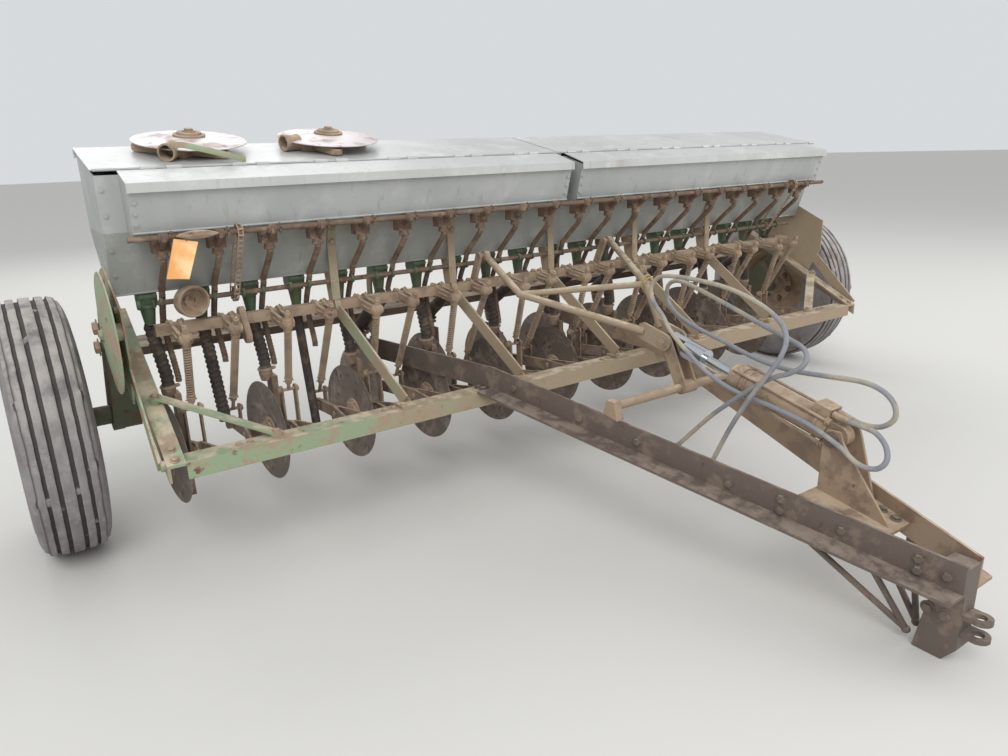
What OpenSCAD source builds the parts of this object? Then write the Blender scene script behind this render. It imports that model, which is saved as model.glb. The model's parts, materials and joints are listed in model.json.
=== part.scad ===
// Pull-type grain drill with a long grain box, two fertiliser hoppers in front of it,
// a lifting rockshaft and two staggered rows of single-disc openers.
// Millimetres. X runs along the box, -Y is the way the drill is pulled, Z is up.
// Stations along Y are measured from the front plane of the fertiliser hoppers,
// and the finished drill is then moved so that the origin is the middle of its footprint.

/* [Rows] */
// Number of openers
row_count = 20; // [12:2:24]
// Distance between two openers
row_pitch = 152.4; // [145:0.2:178]

/* [Grain box] */
// Space from the outermost opener to the end of the grain box
box_overhang = 155; // [120:1:200]
// Thickness of the sheet that box, hoppers and lids are folded from
sheet_t = 3; // [2:0.5:4]
// Station of the ridge where the lids are hinged
ridge_y = 112; // [90:1:150]
// Height of the ridge hinge above the ground
ridge_z = 1174; // [1140:1:1200]
// Station of the rear wall of the grain box at its top
box_rear_y = 416; // [380:1:460]
// Rise of the grain lid from the ridge to the rear
lid_rise = 62; // [40:1:80]
// Station of the front of the box's floor
floor_y = 176; // [160:1:190]
// Width of the box's floor, which carries the seed cups
floor_w = 70; // [60:1:90]
// Height of the box's floor
floor_z = 822; // [805:1:840]

/* [Fertiliser hoppers] */
// Space from the outermost opener to the end of a hopper
hopper_overhang = 93; // [70:1:115]
// Gap between the two hoppers at the middle
hopper_gap = 50; // [30:1:80]
// Height of the hopper's front wall at its top edge
hopper_z = 1131; // [1110:1:1150]
// Height of the bottom edge of the hopper's front wall
hopper_low_z = 1004; // [980:1:1030]
// Distance that the front wall slopes back at its bottom edge
hopper_slope = 38; // [20:1:50]

/* [Wheels] */
// Outside diameter of the tyre
tyre_d = 810; // [740:1:860]
// Width of the tyre
tyre_w = 210; // [170:1:215]
// Diameter of the wheel where the tyre's bead sits
rim_d = 406; // [380:1:440]
// Distance from the middle of the drill to the middle of a wheel
wheel_x = 1816; // [1810:1:1860]
// Station of the wheel's axle
axle_y = 405; // [380:1:430]
// Diameter of the stub axle
axle_d = 45; // [35:1:55]

/* [Frame and tongue] */
// Station of the front face of the front member
front_y = -203; // [-240:1:-190]
// Height of the top of the front member
front_z = 410; // [395:1:425]
// Leg of the angle iron in the frame
iron_leg = 75; // [60:1:80]
// Leg of the front and side members that points down
down_leg = 50; // [40:1:60]
// Thickness of the angle iron
iron_t = 8; // [6:1:10]
// Distance of the tongue's centre line from the drill's, to the left
tongue_x = -160; // [-200:1:-100]
// Half width of the tongue at the front member
tongue_half = 380; // [360:1:390]
// Distance from the tongue's centre line to the left beam's rear end
tongue_rear_left = 505; // [495:1:515]
// Distance from the tongue's centre line to the right beam's rear end
tongue_rear_right = 439; // [430:1:450]
// Height of the tongue's web
tongue_web = 80; // [70:1:90]
// Width of the tongue's foot flange
tongue_foot = 70; // [55:1:75]
// Station of the front end of the tongue
tongue_end_y = -1595; // [-1700:1:-1550]
// Height of the tongue's top edge at its front end
tongue_end_z = 262; // [245:1:290]

/* [Hitch] */
// Length of the hitch straps in front of the tongue
strap_reach = 55; // [50:1:90]
// Radius of the hole for the drawbar pin
hitch_hole_r = 13; // [10:0.5:16]
// Thickness of a hitch strap
strap_t = 12; // [8:1:14]
// Clear height between the two hitch straps
strap_gap = 34; // [28:1:40]

/* [Openers] */
// Radius of an opener's disc
disc_r = 170; // [150:1:175]
// Station of the disc centres in the front row
front_row_y = 200; // [185:1:215]
// Station of the disc centres in the rear row
rear_row_y = 455; // [440:1:480]
// Height of the disc centres with the openers raised
disc_z = 305; // [300:1:320]
// Turn of a disc from straight ahead
disc_yaw = 6; // [4:1:7]
// Diameter of the bar that the drawbars swing on
pivot_d = 20; // [16:1:24]

/* [Lift] */
// Station of the rockshaft
shaft_y = 165; // [158:1:172]
// Height of the rockshaft
shaft_z = 705; // [695:1:715]
// Side of the square rockshaft
shaft_side = 33; // [30:1:36]
// Length of the arms that lift the front row
long_arm = 122; // [110:1:128]
// Length of the arms that lift the rear row
short_arm = 93; // [86:1:100]
// Distance of the cylinder from the drill's centre line, to the left
lift_x = -105; // [-115:1:-95]
// Outside diameter of the cylinder's barrel
barrel_d = 78; // [70:1:80]
// Diameter of the cylinder's chromed rod
chrome_d = 32; // [28:1:38]

/* [Hidden] */
$fn = 48;

// Running clearance on a pin's radius, and the seat that a resting piece keeps
run = 0.05;
seat = 0.3;

// Row places
rows_half = (row_count - 1) * row_pitch / 2;
function row_x(i) = i * row_pitch - rows_half;
front_rows = [for (i = [0 : 2 : row_count - 1]) i];
// The second and the fourth opener from the left are off the drill
rear_rows = [for (i = [5 : 2 : row_count - 1]) i];
bare_rows = [1, 3];
odd_rows = [for (i = [1 : 2 : row_count - 1]) i];
box_half = rows_half + box_overhang;
hopper_half = rows_half + hopper_overhang;
tyre_r = tyre_d / 2;
axle_z = tyre_r;
strap_end_y = tongue_end_y - strap_reach;
mid_y = (strap_end_y + axle_y + tyre_r) / 2;

// Colours
zinc = "#9fa6a3";
green = "#8fa98a";
mud = "#a08c78";
rust = "#6b4a3e";
dark = "#5e5049";
rubber = "#6e6b6b";

// Point p moved by d at angle a in the plane of Y and Z
function polar(p, d, a) = [p[0] + d * cos(a), p[1] + d * sin(a)];

// Left normal of the line from p to q
function normal(p, q) = [p[1] - q[1], q[0] - p[0]] / norm(q - p);

// Mitre between two normals
function mitre(m, n) = (m + n) / (1 + m * n);

// Offset of each point of an open line by t to its left
function shifted(pts, t) = [
  for (i = [0 : len(pts) - 1])
    let (a = i > 0 ? normal(pts[i - 1], pts[i]) : normal(pts[0], pts[1]))
    let (b = i < len(pts) - 1 ? normal(pts[i], pts[i + 1]) : a)
    pts[i] + t * mitre(a, b)
];

// Outline of a folded sheet of thickness t whose right side follows the points
function folded(pts, t) = let (inner = shifted(pts, t))
  concat(pts, [for (i = [len(inner) - 1 : -1 : 0]) inner[i]]);

// Extrudes an outline of Y and Z along X, from x0 to x1
module along_x(x0, x1) {
  translate([x0, 0, 0])
    rotate([90, 0, 90])
      linear_extrude(height = x1 - x0)
        children();
}

// Cylinder along X
module x_pin(x0, x1, y, z, d) {
  translate([x0, y, z])
    rotate([0, 90, 0])
      cylinder(h = x1 - x0, d = d);
}

// Places children so that their Z axis runs from p to q
module from_to(p, q) {
  v = q - p;
  translate(p)
    rotate([0, acos(v[2] / norm(v)), atan2(v[1], v[0])])
      children();
}

// Round rod from p to q
module rod(p, q, d) {
  from_to(p, q)
    cylinder(h = norm(q - p), d = d);
}

// Flat bar in the plane of Y and Z from p to q, with round ends
module link_bar(x0, x1, p, q, w) {
  l = norm(q - p);
  along_x(x0, x1)
    translate(p)
      rotate(atan2(q[1] - p[1], q[0] - p[0]))
        union() {
          translate([0, -w / 2])
            square([l, w]);
          circle(d = w);
          translate([l, 0])
            circle(d = w);
        }
}

// Square-ended flat bar in the plane of Y and Z from p to q
module flat_bar(x0, x1, p, q, w) {
  along_x(x0, x1)
    translate(p)
      rotate(atan2(q[1] - p[1], q[0] - p[0]))
        translate([0, -w / 2])
          square([norm(q - p), w]);
}

// Straight bar from p to q, t thick from side to side and w high
module strip(p, q, t, w) {
  v = q - p;
  translate(p)
    rotate([0, -asin(v[2] / norm(v)), atan2(v[1], v[0])])
      translate([0, -t / 2, -w / 2])
        cube([norm(v), t, w]);
}

// Round tube of n sides, swept along points
function unit(v) = v / norm(v);
function heading(pts, i) = unit(pts[min(i + 1, len(pts) - 1)] - pts[max(i - 1, 0)]);
function ring(c, v, d, n) = let (side = unit(cross(v, [1, 0.2, 0.1])), up = cross(v, side))
  [for (k = [0 : n - 1]) c + d / 2 * (cos(k * 360 / n) * side + sin(k * 360 / n) * up)];
module swept(pts, d, n = 8) {
  last = len(pts) - 1;
  polyhedron(
    points = [for (i = [0 : last]) for (p = ring(pts[i], heading(pts, i), d, n)) p],
    faces = concat(
      [[for (k = [0 : n - 1]) k]],
      [for (i = [0 : last - 1]) for (k = [0 : n - 1])
        let (a = i * n + k, b = i * n + (k + 1) % n)
        [a, a + n, b + n, b]],
      [[for (k = [n - 1 : -1 : 0]) last * n + k]]
    )
  );
}

// Copies children to the right-hand end
module both_ends() {
  children();
  mirror([1, 0, 0])
    children();
}

// Moves the drill so that the origin is the middle of its footprint
module placed() {
  translate([0, -mid_y, 0])
    children();
}

// Grain box
lid_angle = atan2(lid_rise, box_rear_y - ridge_y);
wall_y = ridge_y + 6;
box_top_z = ridge_z - 14;
rear_top_z = ridge_z + lid_rise - 12;
box_line = [
  [wall_y, box_top_z], [wall_y, hopper_low_z], [floor_y, floor_z], [floor_y + floor_w, floor_z],
  [box_rear_y - 18, 975], [box_rear_y, 1010], [box_rear_y, rear_top_z]
];
module grain_box() {
  color(zinc)
    union() {
      along_x(-box_half, box_half)
        polygon(folded(box_line, sheet_t));
      for (x = [-box_half, -sheet_t / 2, box_half - sheet_t])
        along_x(x, x + sheet_t)
          polygon(box_line);
    }
}

// Fertiliser hoppers
hopper_line = [
  [0, hopper_z], [hopper_slope, hopper_low_z], [hopper_slope + 20, hopper_low_z - 20],
  [ridge_y - 18, hopper_low_z - 20], [ridge_y + 6 - seat, hopper_low_z + 6]
];
module fertiliser_hopper() {
  x0 = hopper_gap / 2;
  rear = ridge_y + 6 - seat;
  along_x(x0, hopper_half)
    polygon(folded(concat(hopper_line, [[rear, box_top_z - 20]]), sheet_t));
  for (x = [x0, hopper_half - sheet_t])
    along_x(x, x + sheet_t)
      polygon(concat(hopper_line, [[rear, ridge_z - 12]]));
}
module fertiliser_hoppers() {
  color(zinc)
    both_ends()
      fertiliser_hopper();
}

// Ridge rod, carried by ears on the grain box's front wall
rod_d = 8;
ear_w = 20;
ear_step = 254;
ears = [for (k = [-6 : 6]) k * ear_step * box_half / 1603];
module ridge_rod() {
  color(zinc)
    union() {
      x_pin(-box_half, box_half, ridge_y, ridge_z, rod_d);
      for (x = ears)
        along_x(x - ear_w / 2, x + ear_w / 2)
          polygon([
            [ridge_y - 4, ridge_z], [wall_y - seat, box_top_z - 6],
            [wall_y - seat, box_top_z + 8], [ridge_y + 4, ridge_z]
          ]);
    }
}

// Lids: a panel from the ridge with a turned-down lip, and knuckles round the ridge rod
knuckle_d = 14;
knuckle_w = 40;
lid_start = knuckle_d / 2 + 1.5;
module knuckles(x0, x1, shift) {
  for (x = ears)
    if (x + shift > x0 && x + shift + knuckle_w < x1)
      x_pin(x + shift, x + shift + knuckle_w, ridge_y, ridge_z, knuckle_d);
}
module lid(x0, x1, line, shift, a, drop) {
  difference() {
    union() {
      along_x(x0, x1)
        polygon(folded(line, -sheet_t));
      knuckles(x0, x1, shift);
      for (x = ears)
        if (x + shift > x0 && x + shift + knuckle_w < x1)
          along_x(x + shift, x + shift + knuckle_w)
            translate([ridge_y, ridge_z])
              rotate(a)
                translate([0, drop])
                  square([lid_start + 6, sheet_t]);
    }
    x_pin(x0 - 1, x1 + 1, ridge_y, ridge_z, rod_d + 2 * run);
  }
}
grain_edge = [box_rear_y + 14, ridge_z + lid_rise * (box_rear_y + 14 - ridge_y) / (box_rear_y - ridge_y)];
grain_line = [
  polar([ridge_y, ridge_z], lid_start, lid_angle), grain_edge, [grain_edge[0], grain_edge[1] - 30]
];
fert_angle = 180 + atan2(ridge_z - hopper_z - 8, ridge_y + 8);
fert_edge = [-8, hopper_z + 8];
fert_line = [
  polar([ridge_y, ridge_z], lid_start, fert_angle), fert_edge, [fert_edge[0], fert_edge[1] - 26]
];
lid_gap = 8;
module grain_lid_left() {
  color(zinc)
    lid(-box_half - 6, -lid_gap / 2, grain_line, 40, lid_angle, -sheet_t);
}
module grain_lid_right() {
  color(zinc)
    lid(lid_gap / 2, box_half + 6, grain_line, 40, lid_angle, -sheet_t);
}
module fertiliser_lid_left() {
  color(zinc)
    lid(-hopper_half - 4, -hopper_gap / 2 + 4, [for (i = [2 : -1 : 0]) fert_line[i]], 110, fert_angle, 0);
}
module fertiliser_lid_right() {
  color(zinc)
    lid(hopper_gap / 2 - 4, hopper_half + 4, [for (i = [2 : -1 : 0]) fert_line[i]], 110, fert_angle, 0);
}

// Seed cups under the box and the funnels that hang from them
cup_shift = -62;
cup_w = 54;
cup_y = floor_y + floor_w / 2;
cup_h = 46;
funnel_h = 60;
funnel_d = [30, 48];
cup_low_z = floor_z - cup_h - funnel_h;
module seed_cups() {
  color("#4d6650")
    for (i = [0 : row_count - 1])
      translate([row_x(i) + cup_shift, 0, 0])
        union() {
          along_x(-cup_w / 2, cup_w / 2)
            polygon([
              [cup_y - 28, floor_z], [cup_y - 28, floor_z - 22], [cup_y - 18, floor_z - cup_h],
              [cup_y + 18, floor_z - cup_h], [cup_y + 28, floor_z - 30], [cup_y + 28, floor_z]
            ]);
          translate([0, cup_y, cup_low_z])
            cylinder(h = funnel_h + 4, d1 = funnel_d[0], d2 = funnel_d[1], $fn = 24);
        }
}

// Fertiliser feeds under the hoppers
feed_shift = -23;
feed_y = hopper_slope + 30;
feed_top_z = hopper_low_z - 20;
feed_h = 40;
module fertiliser_feeds() {
  color(rust)
    for (i = [0 : row_count - 1])
      translate([row_x(i) + feed_shift, 0, 0])
        difference() {
          union() {
            translate([-24, feed_y - 20, feed_top_z - feed_h])
              cube([48, 40, feed_h - seat]);
            translate([0, feed_y - 8, feed_top_z - feed_h - 16])
              cylinder(h = 18, d = 30, $fn = 20);
            along_x(-6, 6)
              polygon([
                [feed_shaft_y - 14, feed_shaft_z + 6], [feed_shaft_y, feed_shaft_z + 14],
                [feed_shaft_y + 14, feed_shaft_z], [feed_y - 12, feed_top_z - 14],
                [feed_y - 12, feed_top_z - feed_h], [feed_shaft_y - 14, feed_shaft_z - 12]
              ]);
          }
          x_pin(-10, 10, feed_shaft_y, feed_shaft_z, 16 + 2 * run);
        }
}

// Shaft that turns the fertiliser feeds
feed_shaft_y = 14;
feed_shaft_z = feed_top_z + 6;
module feed_shaft() {
  color(rust)
    union() {
      x_pin(-hopper_half - 20, hopper_half + 20, feed_shaft_y, feed_shaft_z, 16);
      for (x = chain_xs)
        x_pin(x - 4, x + 4, feed_shaft_y, feed_shaft_z, 2 * sprocket_r);
    }
}

// Front member, an angle iron with one leg down, between the side members
side_x = box_half - 12;
side_flange = 50;
member_half = side_x - side_flange - seat;
module front_member() {
  color(green)
    along_x(-member_half, member_half)
      polygon([
        [front_y, front_z], [front_y, front_z - down_leg], [front_y + iron_t, front_z - down_leg],
        [front_y + iron_t, front_z - iron_t], [front_y + iron_leg, front_z - iron_t],
        [front_y + iron_leg, front_z]
      ]);
}

// Side members, which rise from the front corners to the rear of the box
side_rise = 0.5;
side_rear_y = box_rear_y + 70;
flange_rear_y = box_rear_y + 34;
function side_z(y) = front_z + side_rise * (y - front_y);
module side_bar(x, w, y, drop) {
  along_x(x, x + w)
    polygon([
      [front_y, side_z(front_y)], [y, side_z(y)], [y, side_z(y) - drop], [front_y, side_z(front_y) - drop]
    ]);
}
module side_members() {
  color(green)
    both_ends()
      union() {
        side_bar(side_x - iron_t, iron_t, side_rear_y, down_leg);
        side_bar(side_x - side_flange, side_flange, flange_rear_y, iron_t);
      }
}

// Flat braces across the front corners
corner_front = [member_half - 262, front_y + 46];
corner_side = [side_x - 32, front_y + 233];
module corner_braces() {
  low = [corner_front[0], corner_front[1], front_z + 9];
  high = [corner_side[0], corner_side[1], side_z(corner_side[1]) + 16];
  color(green)
    both_ends()
      union() {
        strip(low, high, 38, 6);
        translate([low[0], low[1], front_z + seat])
          cylinder(h = 12, d = 38);
        translate([high[0], high[1], side_z(high[1])])
          rotate([atan(side_rise), 0, 0])
            translate([0, 0, seat])
              cylinder(h = 20, d = 34);
      }
}

// End plates outside the box, each with a pad on the side member and a brace to the front corner
brace_low = [front_y + 26, side_z(front_y + 26) - 18];
brace_high = [floor_y + 61, floor_z - 32];
module end_braces() {
  x = box_half + seat;
  y = [floor_y - 156, floor_y - 76, floor_y + 114, floor_y + 154];
  color(green)
    both_ends()
      union() {
        along_x(x, x + 6)
          polygon([
            [y[0], floor_z - 162], [y[1], side_z(y[1]) - down_leg], [y[2], side_z(y[2]) - down_leg],
            [y[3], floor_z - 162], [y[3], floor_z + 58], [y[3] - 90, floor_z + 78], [y[0], floor_z - 22]
          ]);
        along_x(side_x + seat, x)
          polygon([
            [y[1] + 20, side_z(y[1] + 20) - 6], [y[1] + 20, side_z(y[1] + 20) - 44],
            [y[2] - 20, side_z(y[2] - 20) - 44], [y[2] - 20, side_z(y[2] - 20) - 6]
          ]);
        flat_bar(x, x + 6, brace_low, brace_high, 46);
        x_pin(side_x + seat, x, brace_low[0], brace_low[1], 30);
      }
}

// Footboard behind the box
board_y = box_rear_y + 90;
board_z = 560;
board_w = 200;
board_t = 28;
module footboard() {
  color(mud)
    translate([-box_half + 30, board_y, board_z])
      cube([2 * box_half - 60, board_w, board_t]);
}

// Hangers at the box's rear wall, which hold the frame's rear ends and the footboard
tongue_stop_y = 500;
hanger_w = 30;
hanger_xs = [
  -side_x + iron_t + seat, tongue_x - tongue_rear_left + seat,
  tongue_x + tongue_rear_right - iron_t - seat, side_x - 2 * iron_t - seat
];
module rear_hangers() {
  y = box_rear_y + seat;
  b = board_z - seat;
  lap_z = rear_top_z - 142;
  bend_z = rear_top_z - 210;
  knee_z = board_z + 130;
  color(green)
    for (x = hanger_xs)
      along_x(x, x + iron_t)
        polygon([
          [y, lap_z], [y, bend_z], [tongue_stop_y - hanger_w, knee_z], [tongue_stop_y - hanger_w, front_z + 4],
          [tongue_stop_y, front_z + 4], [board_y, b - 60], [board_y + board_w, b - 16],
          [board_y + board_w, b], [board_y, b], [board_y, knee_z + 10], [y + 22, bend_z + 4], [y + 14, lap_z]
        ]);
}

// Bar behind the front member that the drawbars swing on, with the lugs that carry it
pivot_y = front_y + 53;
pivot_z = front_z - 40;
module drawbar_rod() {
  top = front_z - iron_t - seat;
  color(mud)
    union() {
      x_pin(-rows_half - 70, rows_half + 70, pivot_y, pivot_z, pivot_d);
      for (i = [0 : 3 : row_count - 2])
        along_x(row_x(i) + row_pitch / 2 - 5, row_x(i) + row_pitch / 2 + 5)
          polygon([
            [front_y + iron_t + seat, top], [front_y + iron_leg - 4, top], [pivot_y + 16, pivot_z - 12],
            [pivot_y - 16, pivot_z - 12], [front_y + iron_t + seat, pivot_z + 12]
          ]);
    }
}

// Shaft that drives the seed cups, in front of them
seed_shaft_y = 156;
seed_shaft_z = 788;
seed_shaft_d = 16;
sprocket_r = 19;
module seed_shaft() {
  color(rust)
    union() {
      x_pin(-rows_half - 40, rows_half + 60, seed_shaft_y, seed_shaft_z, seed_shaft_d);
      for (x = chain_xs)
        x_pin(x - 4, x + 4, seed_shaft_y, seed_shaft_z, 2 * sprocket_r);
    }
}

// Supports that carry the rockshaft: a hanger from the box's floor, a strap up its front wall,
// a bearing and a brace to the front member
support_xs = [for (k = [-2 : 2]) k * 3 * row_pitch];
journal_d = 32;
boss_d = 60;
boss_x = [-30, -9];
brace_shift = 57;
wall_lean = (floor_y - wall_y) / (hopper_low_z - floor_z);
function wall_at(z) = wall_y + wall_lean * (hopper_low_z - z) - 2 * seat;
module shaft_supports() {
  foot = front_z + seat;
  under = floor_z - seat;
  color(green)
    for (x = support_xs)
      difference() {
        union() {
          along_x(x + boss_x[0], x + boss_x[0] + 8)
            polygon([
              [shaft_y - 24, shaft_z], [shaft_y + 24, shaft_z], [floor_y + 36, under - 8],
              [floor_y + 36, under], [floor_y + 1, under], [seed_shaft_y - 18, seed_shaft_z]
            ]);
          translate([x - 84, floor_y + 1, under - 8])
            cube([66, floor_w - 2, 8]);
          along_x(x - 36, x - 8)
            polygon(folded([
              [wall_at(985), 985], [wall_at(905), 905], [shaft_y - 20, shaft_z + 22]
            ], -5));
          x_pin(x + boss_x[0], x + boss_x[1], shaft_y, shaft_z, boss_d);
          strip([x + brace_shift, front_y + 44, foot + 19], [x - 21, shaft_y, shaft_z], 8, 42);
          translate([x + brace_shift - 26, front_y + 10, foot])
            cube([52, iron_leg - 14, 10]);
        }
        x_pin(x + boss_x[0] - 1, x + boss_x[1] + 1, shaft_y, shaft_z, journal_d + 2 * run);
        x_pin(x - 40, x + 4, seed_shaft_y, seed_shaft_z, seed_shaft_d + 2 * run);
      }
}

// Tongue beams: station, half width and height of the top edge, where rear is the rear half width
function tongue_line(rear) = [
  [tongue_stop_y, rear, front_z + tongue_web], [tongue_stop_y - 45, rear, front_z + tongue_web],
  [front_y, tongue_half, front_z + tongue_web], [tongue_end_y, 30, tongue_end_z]
];
module tongue_beam(rear) {
  line = tongue_line(rear);
  for (k = [0 : len(line) - 2]) {
    a = line[k];
    b = line[k + 1];
    p = [-a[1], a[0], a[2] - tongue_web];
    q = [-b[1], b[0], b[2] - tongue_web];
    foot = k < 2 ? iron_t : tongue_foot;
    for (size = [[iron_t, tongue_web], [foot, iron_t]])
      hull() {
        translate(p)
          translate([-size[0], 0, 0])
            cube([size[0], 0.1, size[1]]);
        translate(q)
          translate([-size[0], 0, 0])
            cube([size[0], 0.1, size[1]]);
      }
  }
}
module tongue_left() {
  color(dark)
    translate([tongue_x, 0, 0])
      tongue_beam(tongue_rear_left);
}
module tongue_right() {
  color(mud)
    translate([tongue_x, 0, 0])
      mirror([1, 0, 0])
        tongue_beam(tongue_rear_right);
}

// Hitch
hitch_z = tongue_end_z - tongue_web;
strap_z = 105;
hole_y = tongue_end_y - 29;
module hitch_bracket() {
  color(dark)
    translate([tongue_x, 0, 0])
      union() {
        along_x(-29.5, 29.5)
          polygon([
            [tongue_end_y, hitch_z + 70], [tongue_end_y + 60, hitch_z + 70], [tongue_end_y + 100, 0],
            [tongue_end_y + 30, 0], [tongue_end_y, 40]
          ]);
      }
}
module hitch_straps() {
  color(dark)
    translate([tongue_x, 0, 0])
      for (z = [strap_z - strap_gap / 2 - strap_t, strap_z + strap_gap / 2])
        difference() {
          union() {
            translate([-25, hole_y, z])
              cube([50, tongue_end_y - hole_y - seat, strap_t]);
            translate([0, hole_y, z])
              cylinder(h = strap_t, r = 26);
          }
          translate([0, hole_y, z - 1])
            cylinder(h = strap_t + 2, r = hitch_hole_r);
        }
}
module hitch_braces() {
  low = [-24, tongue_end_y + 120, 30];
  color(dark)
    translate([tongue_x, 0, 0])
      both_ends()
        union() {
          for (y = [tongue_end_y + 190, tongue_end_y + 358]) {
            high = [-beam_half(y) - 20, y, beam_top(y) - tongue_web - 9];
            rod(low, high, 16);
            translate([high[0], high[1], high[2] - 4])
              cylinder(h = 10, d = 30);
          }
          translate(low)
            sphere(d = 22);
        }
}

// Wheel arms with their stub axles: a box below, and a plate that laps the box's end above
arm_x = box_half + 10;
arm_t = 33;
arm_top = [175, 735];
arm_w = 110;
arm_bend = 0.6;
arm_bolts = [[175, 735], [228, 668]];
hub_l = 120;
hub_d = axle_d + 50;
module arm_plate(x0, x1, grow) {
  link_bar(x0, x1, arm_top, [axle_y, axle_z], arm_w + 2 * grow);
}
module wheel_arms() {
  bend = arm_top + arm_bend * ([axle_y, axle_z] - arm_top);
  color(green)
    both_ends()
      union() {
        arm_plate(arm_x, arm_x + arm_t, 0);
        flat_bar(side_x - 30, arm_x + 1, bend, [axle_y, axle_z] + [10, -16], arm_w - 8);
        for (b = arm_bolts) {
          x_pin(box_half + 6 + 2 * seat, arm_x, b[0], b[1], 46);
          x_pin(arm_x + arm_t, arm_x + arm_t + 10, b[0], b[1], 30);
        }
        x_pin(arm_x + arm_t, wheel_x - hub_l / 2 - 6, axle_y, axle_z, 62);
        x_pin(arm_x, wheel_x + hub_l / 2 - 14, axle_y, axle_z, axle_d);
      }
}

// Round guard between the left wheel and the drive, notched where the wheel arm passes
shield = [45, 740];
shield_r = 235;
module wheel_shield() {
  color(green)
    mirror([1, 0, 0])
      difference() {
        union() {
          translate([box_half + 9, shield[0], shield[1]])
            rotate([0, 90, 0])
              rotate_extrude()
                polygon([
                  [0, 24], [120, 20], [shield_r - 34, 10], [shield_r, 0],
                  [shield_r, 4], [shield_r - 34, 14], [120, 24], [0, 28]
                ]);
          x_pin(box_half + 6 + 2 * seat, box_half + 36, shield[0], shield[1], 50);
        }
        arm_plate(box_half, box_half + 60, 6);
      }
}

// Wheels. Ribs of the tread: first edge and last edge as shares of half the width, drop at each edge
tyre_ribs = [
  [-0.74, -0.56, 8, 3], [-0.46, -0.26, 2, 1], [-0.14, 0.14, 0, 0], [0.26, 0.46, 1, 2], [0.56, 0.74, 3, 8]
];
groove = 11;
function rib_points(r) = [[r[0], -groove - r[2] / 2], [r[0], -r[2]], [r[1], -r[3]], [r[1], -groove - r[3] / 2]];
module tyre(side) {
  h = tyre_w / 2;
  r0 = rim_d / 2;
  color(rubber)
    translate([side * wheel_x, axle_y, axle_z])
      rotate([0, 90, 0])
        rotate_extrude()
          polygon(concat(
            [[r0, -0.62 * h], [r0 + 20, -0.8 * h], [r0 + 80, -h], [tyre_r - 70, -0.97 * h], [tyre_r - 22, -0.84 * h]],
            [for (k = [0 : len(tyre_ribs) - 1]) for (p = rib_points(tyre_ribs[k])) [tyre_r + p[1], p[0] * h]],
            [[tyre_r - 22, 0.84 * h], [tyre_r - 70, 0.97 * h], [r0 + 80, h], [r0 + 20, 0.8 * h], [r0, 0.62 * h]]
          ));
}
module rim(side) {
  r0 = rim_d / 2;
  h = tyre_w / 2;
  color(rust)
    translate([side * wheel_x, axle_y, axle_z])
      rotate([0, 90, 0])
        difference() {
          union() {
            rotate_extrude()
              polygon([
                [r0 - seat, -0.62 * h], [r0 - seat, 0.62 * h], [r0 - 8, 0.62 * h], [r0 - 24, 0.3 * h],
                [r0 - 24, -0.3 * h], [r0 - 8, -0.62 * h]
              ]);
            cylinder(h = 8, r = r0 - 20);
            translate([0, 0, -hub_l / 2])
              cylinder(h = hub_l, d = hub_d);
            translate([0, 0, -14])
              cylinder(h = 28, d1 = 2 * hub_d, d2 = 2 * hub_d - 20);
          }
          translate([0, 0, -side * hub_l / 2 - hub_l])
            cylinder(h = 2 * hub_l - 12, d = axle_d + 2 * run);
        }
}
module tyre_left() tyre(-1);
module tyre_right() tyre(1);
module rim_left() rim(-1);
module rim_right() rim(1);

// Drive chains at both ends, as closed loops
chain_xs = [-8.29 * row_pitch, 8.71 * row_pitch];
module drive_chains() {
  p = [feed_shaft_y, feed_shaft_z];
  q = [seed_shaft_y, seed_shaft_z];
  color(rust)
    for (x = chain_xs)
      difference() {
        link_bar(x - 5, x + 5, p, q, 2 * sprocket_r + 12);
        link_bar(x - 6, x + 6, p, q, 2 * sprocket_r + 2 * seat);
      }
}

// Rockshaft with its arms and horns
horn_xs = [-2.5 * row_pitch, 1.5 * row_pitch];
horn = [-52, 112];
horn_w = 30;
clamp_x = -8.17 * row_pitch;
function arm_length(i) = i % 2 == 0 ? long_arm : short_arm;
arm_drop = 6;
function trunnion(i) = [shaft_y - arm_length(i) * cos(arm_drop), shaft_z - arm_length(i) * sin(arm_drop)];
module rockshaft() {
  color(mud)
    difference() {
      union() {
        x_pin(-rows_half - 60, rows_half + 60, shaft_y, shaft_z, journal_d);
        for (k = [0 : len(support_xs)]) {
          x0 = k == 0 ? -rows_half - 60 : support_xs[k - 1] + boss_x[1] + 3;
          x1 = k == len(support_xs) ? rows_half + 60 : support_xs[k] + boss_x[0] - 3;
          along_x(x0, x1)
            translate([shaft_y - shaft_side / 2, shaft_z - shaft_side / 2])
              square(shaft_side);
        }
        for (i = concat(front_rows, odd_rows)) {
          link_bar(row_x(i) - 18, row_x(i) - 8, [shaft_y, shaft_z], trunnion(i), 30);
          link_bar(row_x(i) + 8, row_x(i) + 18, [shaft_y, shaft_z], trunnion(i), 30);
        }
        for (x = horn_xs) {
          link_bar(x - 6, x + 6, [shaft_y, shaft_z], [shaft_y, shaft_z] + horn, horn_w);
          x_pin(x, x + 44, shaft_y + horn[0], shaft_z + horn[1], 16);
        }
        link_bar(clamp_x - 7, clamp_x + 7, [shaft_y + 6, shaft_z + 14], [shaft_y - 34, shaft_z - 52], 46);
      }
      for (i = concat(front_rows, odd_rows))
        x_pin(row_x(i) - 20, row_x(i) + 20, trunnion(i)[0], trunnion(i)[1], 12 + 2 * run);
    }
}

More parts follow.
